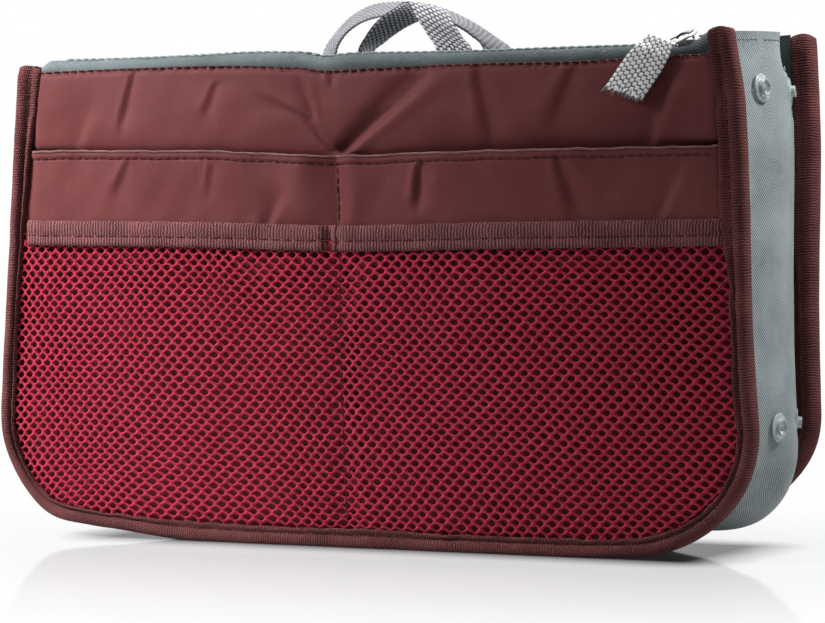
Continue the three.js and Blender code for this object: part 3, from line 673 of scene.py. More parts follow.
def net_out(x, up):
    """The net: both pockets billow over the cloth behind, and the binding's lip holds its edge down."""
    side = half_width(np.clip(up, BINDING_WIDTH, None), BINDING_WIDTH)
    seam = pocket_seam_x(up)
    share = np.where(x < seam, (x + side) / (seam + side), (side - x) / (side - seam))
    share = np.clip(share, 0, 1)
    high = np.clip((up - 4) / 100, 0, 1)
    billow = (1 - (1 - share) ** 2.6) * np.sin(math.pi * np.clip(high, 0.02, 0.98)) ** 0.5
    billow = billow * (1 - smooth(0.55, 1.0, share) * 0.45)
    shape = 3.3 + 3.2 * billow - 1.7 * bell(x, seam, 4.5)
    shape = shape - 0.9 * bell(x, -45.5 + 0.04 * up, 8) * smooth(8, 40, up) + 0.4 * ripple(x, up, 52, 21)
    shape = shape + 0.7 * beside_lip(x, up)
    under_lip = 3.2 + 1.3 * np.clip(edge_inset(x, up) - 8.8 + 5.6 * lip_lost(x, up), 0, None)
    return np.minimum(np.maximum(shape, pocket_out(x, np.minimum(up, 108)) + 0.8), under_lip)


FRONT_COLUMNS = 260
panel_rows = np.r_[np.linspace(0, 0.76, 7), np.linspace(0.765, 1, 66)]
panel = wall_sheet(
    "front_panel_cloth", front, PANEL_INSET, panel_rows, zip_seam, panel_out, FRONT_COLUMNS, BURGUNDY,
)
dress(panel, "front_wall", "burgundy_nylon", "front_panel")
pocket_rows = np.r_[np.linspace(0, 0.72, 34), np.linspace(0.728, 0.972, 36), np.linspace(0.975, 1, 14)]
pocket = wall_sheet(
    "front_pocket_cloth", front, POCKET_INSET, pocket_rows, hem_top, pocket_out, FRONT_COLUMNS, BURGUNDY,
)
dress(pocket, "front_wall", "burgundy_nylon", "front_slip_pocket")
# Faces below the tape, behind the net, take the nylon with painted shade and bounce light
pocket.data.materials.append(NYLON_PAINTED_NET_SHADE)
for face in pocket.data.polygons:
    face.material_index = int(face.center.z < UNDER_TAPE * MM)

NET_TOP = 105.0
NET_HEIGHT = 104.0
NET_REACH = 150.0
NET_INSET = 3.6
NET_PITCH = 4.4
NET_STEP = 2.1
NET_KNOT = 0.45  # half the height of a knot, where two threads run together
NET_HOLE = (1.26, 1.07)
NET_HOLE_POWER = 1.5
NET_THREAD = 0.38


def net_laid(x, up):
    """Where the net's places lie once it is sewn down: a little slanted, and drawn out to the right."""
    slanted = 0.115 * (NET_TOP - up) * smooth(-120, -30, x)
    laid_up = up + 0.7 * ripple(x, up, 60, 32) - 1.2 * bell(x, -8, 60) * up / NET_TOP
    return x + 0.0004 * x * x + slanted + 0.9 * ripple(x, up, 70, 31), laid_up


def net():
    """Net of diamond-shaped holes: each cell is a ring from its hole out to the threads' middle lines."""
    rows = int(NET_HEIGHT / NET_STEP)
    columns = int(NET_REACH / NET_PITCH)
    row, column = np.meshgrid(np.arange(rows), np.arange(-columns, columns + 1), indexing="ij")
    x = (column + 0.5 * (row % 2)) * NET_PITCH
    up = NET_TOP - row * NET_STEP
    keep = edge_inset(*net_laid(x, up)) > NET_INSET
    centre = np.stack([x[keep], up[keep]], -1)
    high = NET_STEP - NET_KNOT
    half = NET_PITCH / 2
    quarter = np.array([(half, -NET_KNOT), (half, NET_KNOT), (0, high)])
    corners = np.concatenate([quarter, -quarter])
    rim = np.stack([corners, (corners + np.roll(corners, -1, 0)) / 2], 1).reshape(-1, 2)
    angle = np.arctan2(rim[:, 1] / high, rim[:, 0] / half)
    way = np.stack([np.cos(angle), np.sin(angle)], -1)
    reach = np.sum(np.abs(way / NET_HOLE) ** NET_HOLE_POWER, -1) ** (-1 / NET_HOLE_POWER)
    hole = way * reach[:, None]
    rims = (centre[:, None] + rim).reshape(-1, 2)
    holes = (centre[:, None] + hole).reshape(-1, 2)
    _, first, shared = np.unique(np.round(rims, 2), axis=0, return_index=True, return_inverse=True)
    spots = np.concatenate([holes, rims[first], rims[first]])
    lift = np.r_[np.zeros(len(holes)), np.full(len(first), NET_THREAD), np.full(len(first), -NET_THREAD)]
    here = np.arange(len(holes)).reshape(-1, len(rim))
    top = len(holes) + shared.reshape(-1, len(rim))
    bottom = top + len(first)
    here_next, top_next, bottom_next = (np.roll(index, -1, 1) for index in (here, top, bottom))
    upper = np.stack([here, top, top_next, here_next], -1).reshape(-1, 4)
    lower = np.stack([here, here_next, bottom_next, bottom], -1).reshape(-1, 4)
    x, up = net_laid(spots[:, 0], spots[:, 1])
    out = net_out(x, up) + lift * (1 + 0.25 * ripple(x, up, 3.1, 33))
    obj = piece("front_net", front(x, up, out), np.concatenate([upper, lower]), NET, np.stack([x, up], -1))
    return obj


dress(net(), "front_wall", "crimson_mesh", "front_mesh_pocket")


def net_tape():
    """Ribbed tape folded over the net's top edge, pulled in where the pockets are sewn."""
    x = across_wall(TAPE_UP, 7.6, 420)
    section = np.array([
        (0.3, -8.9), (1.25, -8.7), (1.4, -7.5), (1.38, -5.9), (1.05, TAPE_GROOVE), (1.38, -4.7),
        (1.45, -2.5), (1.3, -0.9), (0.8, -0.1), (0.1, 0.05), (-0.6, -0.5), (-0.75, -3.0),
        (-0.7, -8.4), (-0.2, -8.6),
    ])
    out = net_out(x, np.full_like(x, UNDER_TAPE))[:, None] + 0.25 + section[None, :, 0]
    tucked = 1.8 * bell(x, TAPE_SEAM_X - 3.6, 1.7) + 0.9 * bell(x, TAPE_SEAM_X, 0.6)
    out = out - tucked[:, None] + 0.12 * ripple(x, 0, 17, 41)[:, None]
    up = tape_top(x)[:, None] + section[None, :, 1] + 0.12 * ripple(x, 0, 11, 42)[:, None]
    uv = section_uv(x, passed_along(section))
    faces = tube_faces(len(x), len(section))
    return piece("net_tape", front(x[:, None], up, out), faces, TAPE, uv, closed=True)


dress(net_tape(), "front_wall", "ribbed_tape", "mesh_pocket_tape")


# Bindings: a section's points as how far in from the wall's edge, and how far out.
# The outer side and the back are measured from the binding's outer face, the inner side from the wall.
OUTER_GROOVE = 5.0
INNER_GROOVE = 4.8
BINDING_OUTER = [
    (8.3, -2.4), (8.6, -1.4), (8.4, -0.4), (7.6, 0.0), (6.3, -0.4), (OUTER_GROOVE, -1.25), (4.3, -0.4),
    (3.4, 0.45), (2.2, 0.9), (1.0, 0.7), (0.1, -0.1), (-0.5, -1.3),
]
BINDING_INNER = [
    (-0.5, 0.9), (0.0, -0.6), (1.1, -1.8), (2.5, -2.4), (3.8, -2.1), (INNER_GROOVE, -1.5),
    (5.8, -1.8), (7.4, -1.8), (8.1, -1.4), (8.0, -0.9), (5.0, -0.8), (2.0, -0.6), (1.0, 0.5),
]
BINDING_BACK = [(1.2, -1.9), (2.4, -1.1), (5.0, -1.5)]


def edge_path(left_top, right_top, step=2.0):
    """Places along a wall's edge from its left top round to its right top, directions in, and lengths."""
    base = np.linspace(0, CORNER_X, int(CORNER_X / step), endpoint=False)
    angle = np.linspace(-math.pi / 2, TAPER, int(CORNER * (math.pi / 2 + TAPER) / step))
    corner = np.stack([CORNER_X + CORNER * np.cos(angle), CORNER + CORNER * np.sin(angle)], -1)
    halves = []
    for top in (left_top, right_top):
        up = np.linspace(FOOT_UP, top, int((top - FOOT_UP) / step))[1:]
        side = np.stack([FOOT_X - (up - FOOT_UP) * math.tan(TAPER), up], -1)
        halves.append(np.concatenate([np.stack([base, 0 * base], -1), corner, side]))
    left = halves[0][:0:-1] * [-1, 1]
    path = np.concatenate([left, halves[1]])
    way = unit(np.gradient(path, axis=0))
    inward = np.stack([-way[:, 1], way[:, 0]], -1)
    return path, inward, passed_along(path)


def binding(name, place, face, left_top, right_top, seed):
    """Ribbed tape round a wall's edge, whose outer face is at face, and its stitches on both sides."""
    path, inward, passed = edge_path(left_top, right_top)
    outer = [(deep, face + out) for deep, out in BINDING_OUTER]
    back = [(deep, face + out) for deep, out in BINDING_BACK]
    section = np.array(outer + BINDING_INNER + back)
    deep, level = section[None, :, 0], section[None, :, 1]
    sway = 0.5 * ripple(passed, 0, 55, seed) + 0.25 * ripple(passed, 0, 9, seed + 1)
    swell = 1 + 0.1 * ripple(passed, 0, 30, seed + 2)
    ends = np.minimum(passed, passed[-1] - passed)
    lost = lip_lost(path[:, 0], path[:, 1])[:, None]
    across = deep - lost * np.clip(deep - 3, 0, None) + sway[:, None] * smooth(3, 8, deep)
    at = path[:, None] + inward[:, None] * across[..., None]
    rounded = 2.6 * (1 - np.sqrt(1 - np.clip(np.abs(deep - 4) / 4.8, 0, 0.98) ** 2))
    at[..., 1] -= rounded * smooth(4.5, 0, ends)[:, None]
    middle = (face - 1.3) / 2
    out = middle + (level - middle) * swell[:, None] + 0.25 * ripple(passed, 0, 41, seed + 3)[:, None]
    out = out + 0.1 * np.sin(TURN * passed / SEAM_PITCH)[:, None] * bell(deep, OUTER_GROOVE, 1.6)
    curl = 1 - 0.28 * smooth(4, 0, ends)
    out = middle + (out - middle) * curl[:, None]
    uv = section_uv(passed, passed_along(section))
    faces = tube_faces(len(path), len(section))
    obj = piece(name, place(at[..., 0], at[..., 1], out), faces, EDGE_TAPE, uv, closed=True)
    runs = []
    sewn = slice(3, -3)
    for groove, lift in ((OUTER_GROOVE, THREAD_LIFT), (INNER_GROOVE, -THREAD_LIFT)):
        k = int(np.argmin(np.abs(section[:, 0] - groove)))
        runs.append(place(at[sewn, k, 0], at[sewn, k, 1], out[sewn, k] + lift))
    return obj, stitches(name + "_stitches", runs, RED_THREAD, SEAM_PITCH, filled=0.78, radius=0.2)


for wall, place, face, left_top, right_top, seed in (
    ("front", front, FRONT_FACE, 166.4, 173.4, 51),
    ("rear", rear, REAR_FACE, 170.5, 175.6, 61),
):
    cloth, sewn = binding(wall + "_edge_tape", place, face, left_top, right_top, seed)
    dress(cloth, wall + "_wall", "ribbed_tape", wall + "_binding")
    dress(sewn, wall + "_wall", "ribbed_tape")


# Seams of the front wall
zip_x, hem_x, tape_x = (across_wall(up, BINDING_WIDTH, FRONT_COLUMNS) for up in (160, 134, TAPE_UP))
hem_up = hem_top(hem_x)
hem_sewn = hem_up - HEM_STITCH
tape_out = net_out(tape_x, np.full_like(tape_x, UNDER_TAPE)) + 1.42
low_up = np.linspace(8, 101, 80)
high_up = np.linspace(111, 132.2, 24)
high_x = pocket_seam_x(high_up) + 0.35 * ripple(high_up, 0, 7, 18)
zip_run = front(zip_x, zip_seam(zip_x) - 0.35, panel_out(zip_x, zip_seam(zip_x) - 0.6) + 0.1)
seam_run = front(high_x, high_up, pocket_out(pocket_seam_x(high_up), high_up) + 0.15)
tape_run = front(tape_x, tape_top(tape_x) + TAPE_GROOVE, tape_out)
front_runs = [
    front(hem_x, hem_sewn, pocket_out(hem_x, hem_sewn) + 0.1),
    front(pocket_seam_x(low_up), low_up, net_out(pocket_seam_x(low_up), low_up) + 0.3),
]
# A thin cord along the pocket's hem top: a real rolled edge, in a paler colour that is painted highlight
hem_painted_highlight = front(hem_x, hem_up + 0.1 * ripple(hem_x, 0, 5, 14), pocket_out(hem_x, hem_up - 0.5))
dress(cord("hem_fold", hem_painted_highlight, 0.45, HEM_PAINTED_HIGHLIGHT), "front_wall", "burgundy_nylon")
for name, runs, thread, pitch, filled, radius, slot in (
    ("front_seam_stitches", front_runs, RED_THREAD, 3.3, 0.75, 0.24, "burgundy_nylon"),
    # These thick dark stitches are thread together with painted pucker shade
    ("zip_seam_stitches", [zip_run], THREAD_PAINTED_PUCKER_SHADE, SEAM_PITCH, 0.78, 0.36, "burgundy_nylon"),
    ("pocket_seam_stitches", [seam_run], THREAD_PAINTED_PUCKER_SHADE, 3.1, 0.84, 0.5, "burgundy_nylon"),
    ("net_tape_stitches", [tape_run], RED_THREAD, 4.6, 0.8, 0.24, "ribbed_tape"),
):
    dress(stitches(name, runs, thread, pitch, filled, radius), "front_wall", slot)


# Zip: its tapes' profile is across from the chain's middle and up from the ridge
ZIP_OUT = -3.2
ZIP_ENDS = (-127.5, 126.5)
ZIP_TAPE_PROFILE = [
    (3.0, -13.0), (3.1, -7.5), (3.3, -5.4), (3.75, -4.2), (3.95, -3.0), (3.6, -1.8), (2.9, -0.9),
    (1.9, -0.35), (0.9, -0.3),
]
ZIP_TAPE_HIDDEN = -6  # from here down a tape is behind the panel
ZIP_TAPE_FOOT = 160
TEETH_ENDS = (-118.5, 121.5)
TOOTH_PITCH = 3.15
TOOTH_RADIUS = 0.42
TOOTH_WIDTH = 3.2  # times its height


def zip_tape(name, side):
    """One tape of the zip: it stands up behind the panel's edge and turns in under the teeth."""
    x = np.linspace(*ZIP_ENDS, 220)
    profile = np.array(ZIP_TAPE_PROFILE)
    rise = profile[None, :, 1]
    out = ZIP_OUT + side * (profile[None, :, 0] + 0.12 * ripple(x, 0, 21, 71)[:, None])
    up = ridge(x)[:, None] + rise
    up = np.where(rise < ZIP_TAPE_HIDDEN, np.minimum(up, ZIP_TAPE_FOOT), up)
    passed = passed_along(profile)
    uv = section_uv(x, passed)
    faces = grid_faces(len(x), len(profile))
    obj = piece(name, front(x[:, None], up, out), faces[:, ::-1] if side < 0 else faces, ZIP_TAPE, uv)
    return thicken(obj, NYLON)


def zip_teeth(name, side):
    """One side's coil: each turn is a bent bar from the tape to the chain's middle."""
    x = np.arange(*TEETH_ENDS, TOOTH_PITCH) + (TOOTH_PITCH / 2 if side > 0 else 0)
    thick = TOOTH_RADIUS * np.array([0.55, 0.95, 1.0, 1.0, 1.0, 0.95, 0.5])
    share = np.linspace(0, 1, len(thick))
    reach = 2.5 - 2.6 * share
    arch = -0.1 + 0.5 * np.sin(math.pi * (0.12 + 0.82 * share))
    sides = 8
    angle = np.arange(sides) * TURN / sides
    along = x[:, None, None] + (thick[None, :, None] * TOOTH_WIDTH) * np.cos(angle)
    up = ridge(x)[:, None, None] + arch[None, :, None] + thick[None, :, None] * np.sin(angle)
    out = ZIP_OUT + side * reach[None, :, None]
    return piece(name, front(along, up, out), tube_faces(len(thick), sides, len(x)), TEETH, closed=True)


dress(zip_tape("zip_tape_outer", 1), "front_wall", "slate_nylon", "zip_tape_front")
dress(zip_tape("zip_tape_inner", -1), "front_wall", "slate_nylon", "zip_tape_rear")
dress(zip_teeth("zip_teeth_outer", 1), "front_wall", "zip_nylon", "zip_coil_front")
dress(zip_teeth("zip_teeth_inner", -1), "front_wall", "zip_nylon", "zip_coil_rear")

PULL_DROP = 1.9  # the pull sits this much lower than in the solids
CROWN = np.array([115.5, 173.0 - PULL_DROP, ZIP_OUT])
RING_ALONG = unit(np.array([-0.614, -0.37, 0.698]))
RING_ACROSS = unit(np.array([0.75, -0.06, 0.66]))
RING_RADIUS = 5.0
RING_SLACK = 4.05
RING_WIRE = (0.62, 0.56)


def pull_ring():
    """Long steel link: the slider's bridge is in its near end, with slack, the ribbon in its far end."""
    steps, sides = 56, 12
    turn = np.arange(steps) * TURN / steps
    angle = np.arange(sides) * TURN / sides
    half_length = RING_RADIUS + RING_SLACK / 2
    centre = CROWN + (2 * RING_RADIUS - half_length) * RING_ALONG
    normal = np.cross(RING_ALONG, RING_ACROSS)
    along, across = np.cos(turn)[:, None] * RING_ALONG, np.sin(turn)[:, None] * RING_ACROSS
    bend = centre + half_length * along + RING_RADIUS * across
    spoke = unit(RING_RADIUS * along + half_length * across)
    wide, thick = RING_WIRE[0] * np.cos(angle), RING_WIRE[1] * np.sin(angle)
    wire = spoke[:, None] * wide[:, None] + normal * thick[:, None]
    points = (bend[:, None] + wire).reshape(-1, 3)
    return piece("pull_link", front(*points.T), grid_faces(steps, sides, True, True), STEEL, closed=True)


dress(pull_ring(), "pull_ring", "ring_steel", "zip_pull_ring")

BLOCK = 4.0  # powers of a bar's roundness: the higher, the sharper its edges
FLANGE = 5.0
KNEE = 2.5


def cast(name, bars):
    """Enamelled piece made of bars with round edges: each has a centre, half sizes and a power."""
    rows, columns = 9, 20
    polar = np.linspace(-math.pi / 2, math.pi / 2, rows)[:, None]
    turn = (np.arange(columns) * TURN / columns)[None]
    ways = np.cos(polar) * np.cos(turn), np.cos(polar) * np.sin(turn), np.sin(polar)
    way = np.stack(np.broadcast_arrays(*ways), -1)
    points, faces = [], []
    for i, (centre, half, power) in enumerate(bars):
        reach = np.sum(np.abs(way) ** power, -1) ** (-1 / power)
        points.append((np.array(centre) + way * reach[..., None] * np.array(half)).reshape(-1, 3))
        faces += (grid_faces(rows, columns, True) + i * rows * columns).tolist()
    return piece(name, front(*np.concatenate(points).T), faces, ENAMEL, closed=True)


def slider():
    """Zip slider: a plate over the teeth with turned-down sides, and a low bridge that holds the link."""
    x, crown_up, out = CROWN
    top = crown_up - 1.6
    bars = [((x, top - 0.5, out), (4.4, 0.45, 3.4), BLOCK)]
    for side in (-1, 1):
        bars.append(((x + 0.4, top - 1.6, out + 3.2 * side), (3.6, 1.1, 0.4), FLANGE))
    bars.append(((x + 0.5, top - 3.4, out), (3.0, 0.5, 2.6), BLOCK))
    for angle in np.linspace(0, math.pi, 21):
        knee = (x - 3.1 * math.cos(angle), top + 2.2 * math.sin(angle) ** 0.7, out)
        bars.append((knee, (0.45, 0.28, 0.5), KNEE))
    return cast("zip_slider_cast", bars)


dress(slider(), "zip_slider", "slider_enamel", "zip_slider_body")

# Stops: clips pressed over both tapes at the ends of the teeth
STOP_HALF = (1.2, 0.8, 2.6)
STOP_DROP = 0.8
for node, x in (("zip_stop_left", -122.6), ("zip_stop_right", 123.6)):
    stop = cast(node + "_pressed", [((x, float(ridge(x)) - STOP_DROP, ZIP_OUT), STOP_HALF, BLOCK)])
    dress(stop, "front_wall", "zip_nylon", node)


# Webbing
STRAP_WIDTH = 13.0
STRAP_COLUMNS = 9
STRAP_STEPS = 44
STRAP_STEP = 0.42
STRAP_THICKNESS = 1.4
WEAVE = (STRAP_WIDTH / STRAP_COLUMNS, 1.9)
WEAVE_HEIGHT = 0.34
RIBBON_THICKNESS = 1.5
RIBBON_STEPS = 90
FRAY = 3.5  # length of the ribbon's uneven end


def weave_height(across, along):
    """Height of the woven bumps, from 0 in the gaps to 1: each column is half a bump off the next."""
    column = np.floor(across / WEAVE[0])
    bow = 1 - (2 * (across / WEAVE[0] - column) - 1) ** 2
    rise = 0.5 + 0.5 * np.cos(TURN * (along / WEAVE[1] + 0.5 * (column % 2)))
    return np.sqrt(np.clip(bow, 0, 1)) * (0.15 + 0.85 * rise**0.7)


def strap(name, centre, across, width, thickness, place, material, ragged=None):
    """Woven strap along centre points, with a width at each; ragged is how far its cut end juts out."""
    passed = passed_along(centre)
    along = np.linspace(0, passed[-1], max(int(passed[-1] / STRAP_STEP), 2))
    stations = at_lengths(np.concatenate([centre, across, width[:, None]], 1), passed, along)
    centre, across, width = stations[:, :3], unit(stations[:, 3:6]), stations[:, 6]
    way = unit(np.gradient(centre, axis=0))
    face = unit(np.cross(way, across))
    side = np.linspace(-1, 1, STRAP_STEPS)
    edge = thickness / 2 * (1 - 0.75 * np.abs(side) ** 10)
    over, length = np.broadcast_arrays((side[None] + 1) * STRAP_WIDTH / 2, along[:, None])
    woven = weave_height(over, length)
    lift = edge[None] + WEAVE_HEIGHT * (woven - 0.5)
    middle = centre[:, None] + across[:, None] * (side[None] * width[:, None] / 2)[..., None]
    if ragged is not None:
        cut = np.interp(side, np.linspace(-1, 1, len(ragged)), ragged)
        juts = cut[None] * smooth(FRAY, 0, along[-1] - along)[:, None]
        middle = middle + way[:, None] * juts[..., None]
    upper = middle + face[:, None] * lift[..., None]
    lower = middle - face[:, None] * lift[..., None]
    points = np.concatenate([upper, lower[:, ::-1]], 1)
    rows, count = points.shape[:2]
    uv = np.stack([np.concatenate([over, over[:, ::-1]], 1), np.repeat(along[:, None], count, 1)], -1)
    faces = grid_faces(rows, count, True).tolist()
    for k in range(STRAP_STEPS - 1):
        for end in (0, (rows - 1) * count):
            faces.append([end + k, end + k + 1, end + count - 2 - k, end + count - 1 - k])
    obj = piece(name, place(*points.reshape(-1, 3).T), faces, material, uv, closed=True)
    mark(obj, "weave", np.concatenate([woven, woven[:, ::-1]], 1))
    return obj


def ribbon():
    """Pull ribbon: doubled webbing from the link, hanging down the front, with a frayed cut end."""
    far = CROWN + 2 * RING_RADIUS * RING_ALONG
    path = catmull([
        far + (0.8, 1.3, -1.6), far + (-0.2, 1.7, 0.6), far + (-1.4, -0.6, 2.0), (106.4, 164.6, 7.0),
        (102.4, 159.2, 7.2), (97.2, 152.2, 7.3),
    ], RIBBON_STEPS)
    turned = smooth(0.15, 0.75, np.linspace(0, 1, RIBBON_STEPS))[:, None]
    across = (1 - turned) * np.array([0.88, -0.3, 0.3]) + turned * np.array([0.95, -0.31, 0.02])
    width = 12.0 + 2.2 * turned[:, 0]
    ragged = np.random.default_rng(7).uniform(-0.9, 1.3, 60)
    return strap("pull_ribbon_webbing", path, across, width, RIBBON_THICKNESS, front, WEBBING_PAINTED_LIGHT, ragged)


def frayed_threads():
    """Loose fibres at the ribbon's cut end."""
    draw = np.random.default_rng(17)
    t = np.linspace(0, 1, 5)[:, None]
    runs = []
    for _ in range(46):
        side = draw.uniform(-1, 1)
        start = np.array([97.3 + 6.7 * side, 152.2 - 2.2 * side, 7.3 + draw.uniform(-0.5, 0.5)])
        way = np.array([-0.62 + draw.uniform(-0.45, 0.45), -0.78, draw.uniform(-0.25, 0.25)])
        bend = draw.uniform(-0.5, 0.5, 3) * 0.8
        run = start + way * t * draw.uniform(1.0, 2.3) + bend * t * t
        runs.append(front(*run.T))
    return stitches("pull_ribbon_fibres", runs, FIBRE, pitch=0.9, filled=1.02, radius=0.1)


dress(ribbon(), "pull_ribbon", "grey_webbing", "zip_pull_ribbon")
dress(frayed_threads(), "pull_ribbon", "grey_webbing")


# Handles: both edges of each strap from its left sewn end to its right one, as (x, up, out) pairs
FRONT_SEWN_OUT = -8.25
REAR_SEWN_OUT = -4.05
FRONT_HANDLE = [
    ((-3.5, 124, FRONT_SEWN_OUT), (9.5, 124, FRONT_SEWN_OUT)),
    ((-3.5, 146, FRONT_SEWN_OUT), (9.5, 146, FRONT_SEWN_OUT)),
    ((-5.4, 158, -8.4), (2.6, 158.5, -16.5)), ((-6.6, 168, -8.5), (-6.9, 168.2, -20.8)),
    ((-3.6, 174.2, -8.8), (-1.9, 173, -21.0)), ((0.6, 179.4, -9.4), (5.0, 176.8, -19.8)),
    ((6.0, 183.0, -10.0), (12.0, 179.0, -17.0)), ((11.0, 185.2, -10.4), (25.0, 181.6, -11.0)),
    ((15.5, 179.8, -8.2), (29.7, 176.9, -8.2)), ((19.5, 174.1, -8.2), (33.0, 172.3, -8.2)),
    ((23.4, 167.0, -8.2), (36.6, 166.8, -8.2)),
    ((23.5, 150, FRONT_SEWN_OUT), (36.5, 150, FRONT_SEWN_OUT)),
    ((23.5, 124, FRONT_SEWN_OUT), (36.5, 124, FRONT_SEWN_OUT)),
]
REAR_HANDLE = [
    ((-48.5, 124, REAR_SEWN_OUT), (-35.5, 124, REAR_SEWN_OUT)),
    ((-48.5, 147, REAR_SEWN_OUT), (-35.5, 147, REAR_SEWN_OUT)),
    ((-49.6, 160, -4.2), (-38.8, 159.5, -10.0)), ((-50.0, 171.8, -4.5), (-40.6, 169.8, -12.8)),
    ((-43.9, 179.2, -6.8), (-36.2, 175.6, -17.2)), ((-35.3, 185.1, -9.9), (-29.5, 179.4, -20.3)),
    ((-26.1, 188.0, -12.7), (-21.5, 181.3, -23.2)), ((-15.5, 188.4, -14.3), (-12.5, 182.0, -24.6)),
    ((-5.7, 187.5, -14.2), (-4.1, 182.0, -24.2)), ((3.3, 184.9, -12.4), (2.6, 180.9, -22.0)),
    ((11.9, 180.8, -9.5), (8.3, 179.1, -19.6)), ((20.0, 175.4, -5.5), (12.9, 176.0, -15.6)),
    ((25.5, 171.0, -3.8), (16.6, 171.4, -11.6)), ((29.8, 160, -4.0), (17.2, 160, -6.2)),
    ((30.5, 146, REAR_SEWN_OUT), (17.5, 146, REAR_SEWN_OUT)),
    ((30.5, 124, REAR_SEWN_OUT), (17.5, 124, REAR_SEWN_OUT)),
]


def handle(name, edges, place, material):
    """A strap sewn on the lining at both ends, between the two edge lines of its loop."""
    line = catmull(np.array(edges, float).reshape(len(edges), 6), 300)
    centre = (line[:, :3] + line[:, 3:]) / 2
    across = line[:, 3:] - line[:, :3]
    return strap(name, centre, across, np.linalg.norm(across, axis=1), STRAP_THICKNESS, place, material)


for wall, edges, place, material, middle_x, bend, sewn_out in (
    ("front", FRONT_HANDLE, front, WEBBING, 16.5, (161.6, 165.4), FRONT_SEWN_OUT),
    ("rear", REAR_HANDLE, rear, WORN_WEBBING, -9.0, (161.4, 165.4), REAR_SEWN_OUT),
):
    body = wall + "_handle"
    loop = handle(body + "_webbing", edges, place, material)
    low, high = place(middle_x, np.array(bend), sewn_out)
    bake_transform(loop)
    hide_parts(body + "_loop", body + "_left_end", body + "_right_end")


# Gusset
GUSSET_INSET = 8.0
GUSSET_TOPS = {-1: 165.0, 1: 172.4}
GUSSET_CLOTH = 0.7
GUSSET_STEP = 2.4
GUSSET_COLUMNS = 16
GUSSET_HEM = 3.2  # stitches below its top edges
SEAM_OUT = -1.6
SIDE_BULGE = 6.5
BASE_BULGE = 2.0
FRONT_BAND = 27.0
PLEAT = 18.0
PAST_REAR_SEAM = 99.0


def gusset_places(line, outward, distance):
    """Places on the gusset's outer face at distances behind the front seam, for each place of its line.

    Also says how deep the gusset is there, and from 0 to 1 how much painted shade its cloth gets where it
    is tucked in at the rear.
    """
    x, up = line[:, 0], line[:, 1]
    first, last = front(x, up, SEAM_OUT), rear(x, up, SEAM_OUT)
    deep = np.linalg.norm(last - first, axis=1)
    share = np.clip(distance / deep[:, None], 0, 1)
    normal = np.stack([outward[:, 0], 0 * x, outward[:, 1]], -1)
    sideways = np.abs(normal[:, 0])
    swell = np.sin(math.pi * share)
    bulge = (SIDE_BULGE * sideways + BASE_BULGE * np.abs(normal[:, 2]))[:, None] * swell
    high = up[:, None]
    wide_tuck = smooth(0.58, 0.76, share) * smooth(158, 166, high)
    deep_tuck = smooth(0.74, 0.85, share) * smooth(146, 154, high)
    sunk = np.maximum(wide_tuck, deep_tuck) * (1 - smooth(0.96, 1.0, share))
    corner = 2 * np.abs(normal[:, 0] * normal[:, 2])[:, None]
    heel = 2.6 * sideways[:, None] * normal[:, 2:] ** 2
    pushed = 8.0 * smooth(0.3, 0.8, share) * (1 - smooth(0.93, 1.0, share))
    below = np.where(x < 0, GUSSET_TOPS[-1], GUSSET_TOPS[1])[:, None] - high
    hem = 0.35 * smooth(3.6, 3.0, below) - 0.4 * bell(below, GUSSET_HEM, 0.5)
    uneven = 0.5 * ripple(distance + 0 * high, high + 0.4 * x[:, None], 44, 81) * swell
    pucker = 0.35 * ripple(high + x[:, None], 0 * high, 13, 82) * np.exp(-distance / 5)
    lift = bulge - 7.0 * sunk + uneven + pucker + hem * sideways[:, None]
    places = first[:, None] + (last - first)[:, None] * share[..., None] + normal[:, None] * lift[..., None]
    places[..., 0] += 0.6 * np.sign(x)[:, None] * corner * pushed
    raised = 3.0 * share * smooth(150, 171, high) * (x > 0)[:, None]
    places[..., 2] += raised - (0.2 * corner + 0.72 * heel) * pushed
    return places, deep, np.maximum(sunk, smooth(0.9, 1.0, share) * smooth(146, 156, high))


def gusset_band(name, from_at, to_at, columns):
    """A band of the gusset between two distances behind the front seam, and the stitches of its hems."""
    path, inward, passed = edge_path(GUSSET_TOPS[-1], GUSSET_TOPS[1], GUSSET_STEP)
    line, outward = path + inward * GUSSET_INSET, -inward
    _, deep, _ = gusset_places(line, outward, np.zeros((len(line), 1)))
    start, end = np.minimum(from_at, deep), np.minimum(to_at, deep)
    distance = start[:, None] + (end - start)[:, None] * np.linspace(0, 1, columns)[None]
    points, _, painted_fold_shade = gusset_places(line, outward, distance)
    steps = np.linalg.norm(np.diff(points, axis=1), axis=2)
    crossed = start[:, None] + np.concatenate([np.zeros((len(line), 1)), np.cumsum(steps, 1)], 1)
    uv = np.stack([crossed, np.repeat(passed[:, None], columns, 1)], -1)
    obj = piece(name, points, grid_faces(len(line), columns), SLATE_PAINTED_FOLD_SHADE, uv)
    obj.data.materials.append(SLATE)
    # Mask of the painted shade in the tucked rear fold, read by the slate's look
    mark(obj, "painted_fold_shade", smooth(0.15, 0.6, painted_fold_shade))
    cloth = thicken(obj, GUSSET_CLOTH).modifiers["thickness"]
    cloth.use_rim = False
    cloth.material_offset = 1
    hems = []
    for side, top_rows in ((-1, slice(0, 4)), (1, slice(-4, None))):
        order = np.argsort(line[top_rows, 1])
        heights, rows = line[top_rows, 1][order], points[top_rows][order]
        sewn_at = GUSSET_TOPS[side] - GUSSET_HEM
        hem = np.array([at_lengths(rows[:, k], heights, sewn_at) for k in range(1, columns - 1)])
        hems.append(hem + [0.15 * side, 0, 0])
    return obj, stitches(name + "_stitches", hems, SLATE_THREAD, pitch=2.6, filled=0.75, radius=0.2)


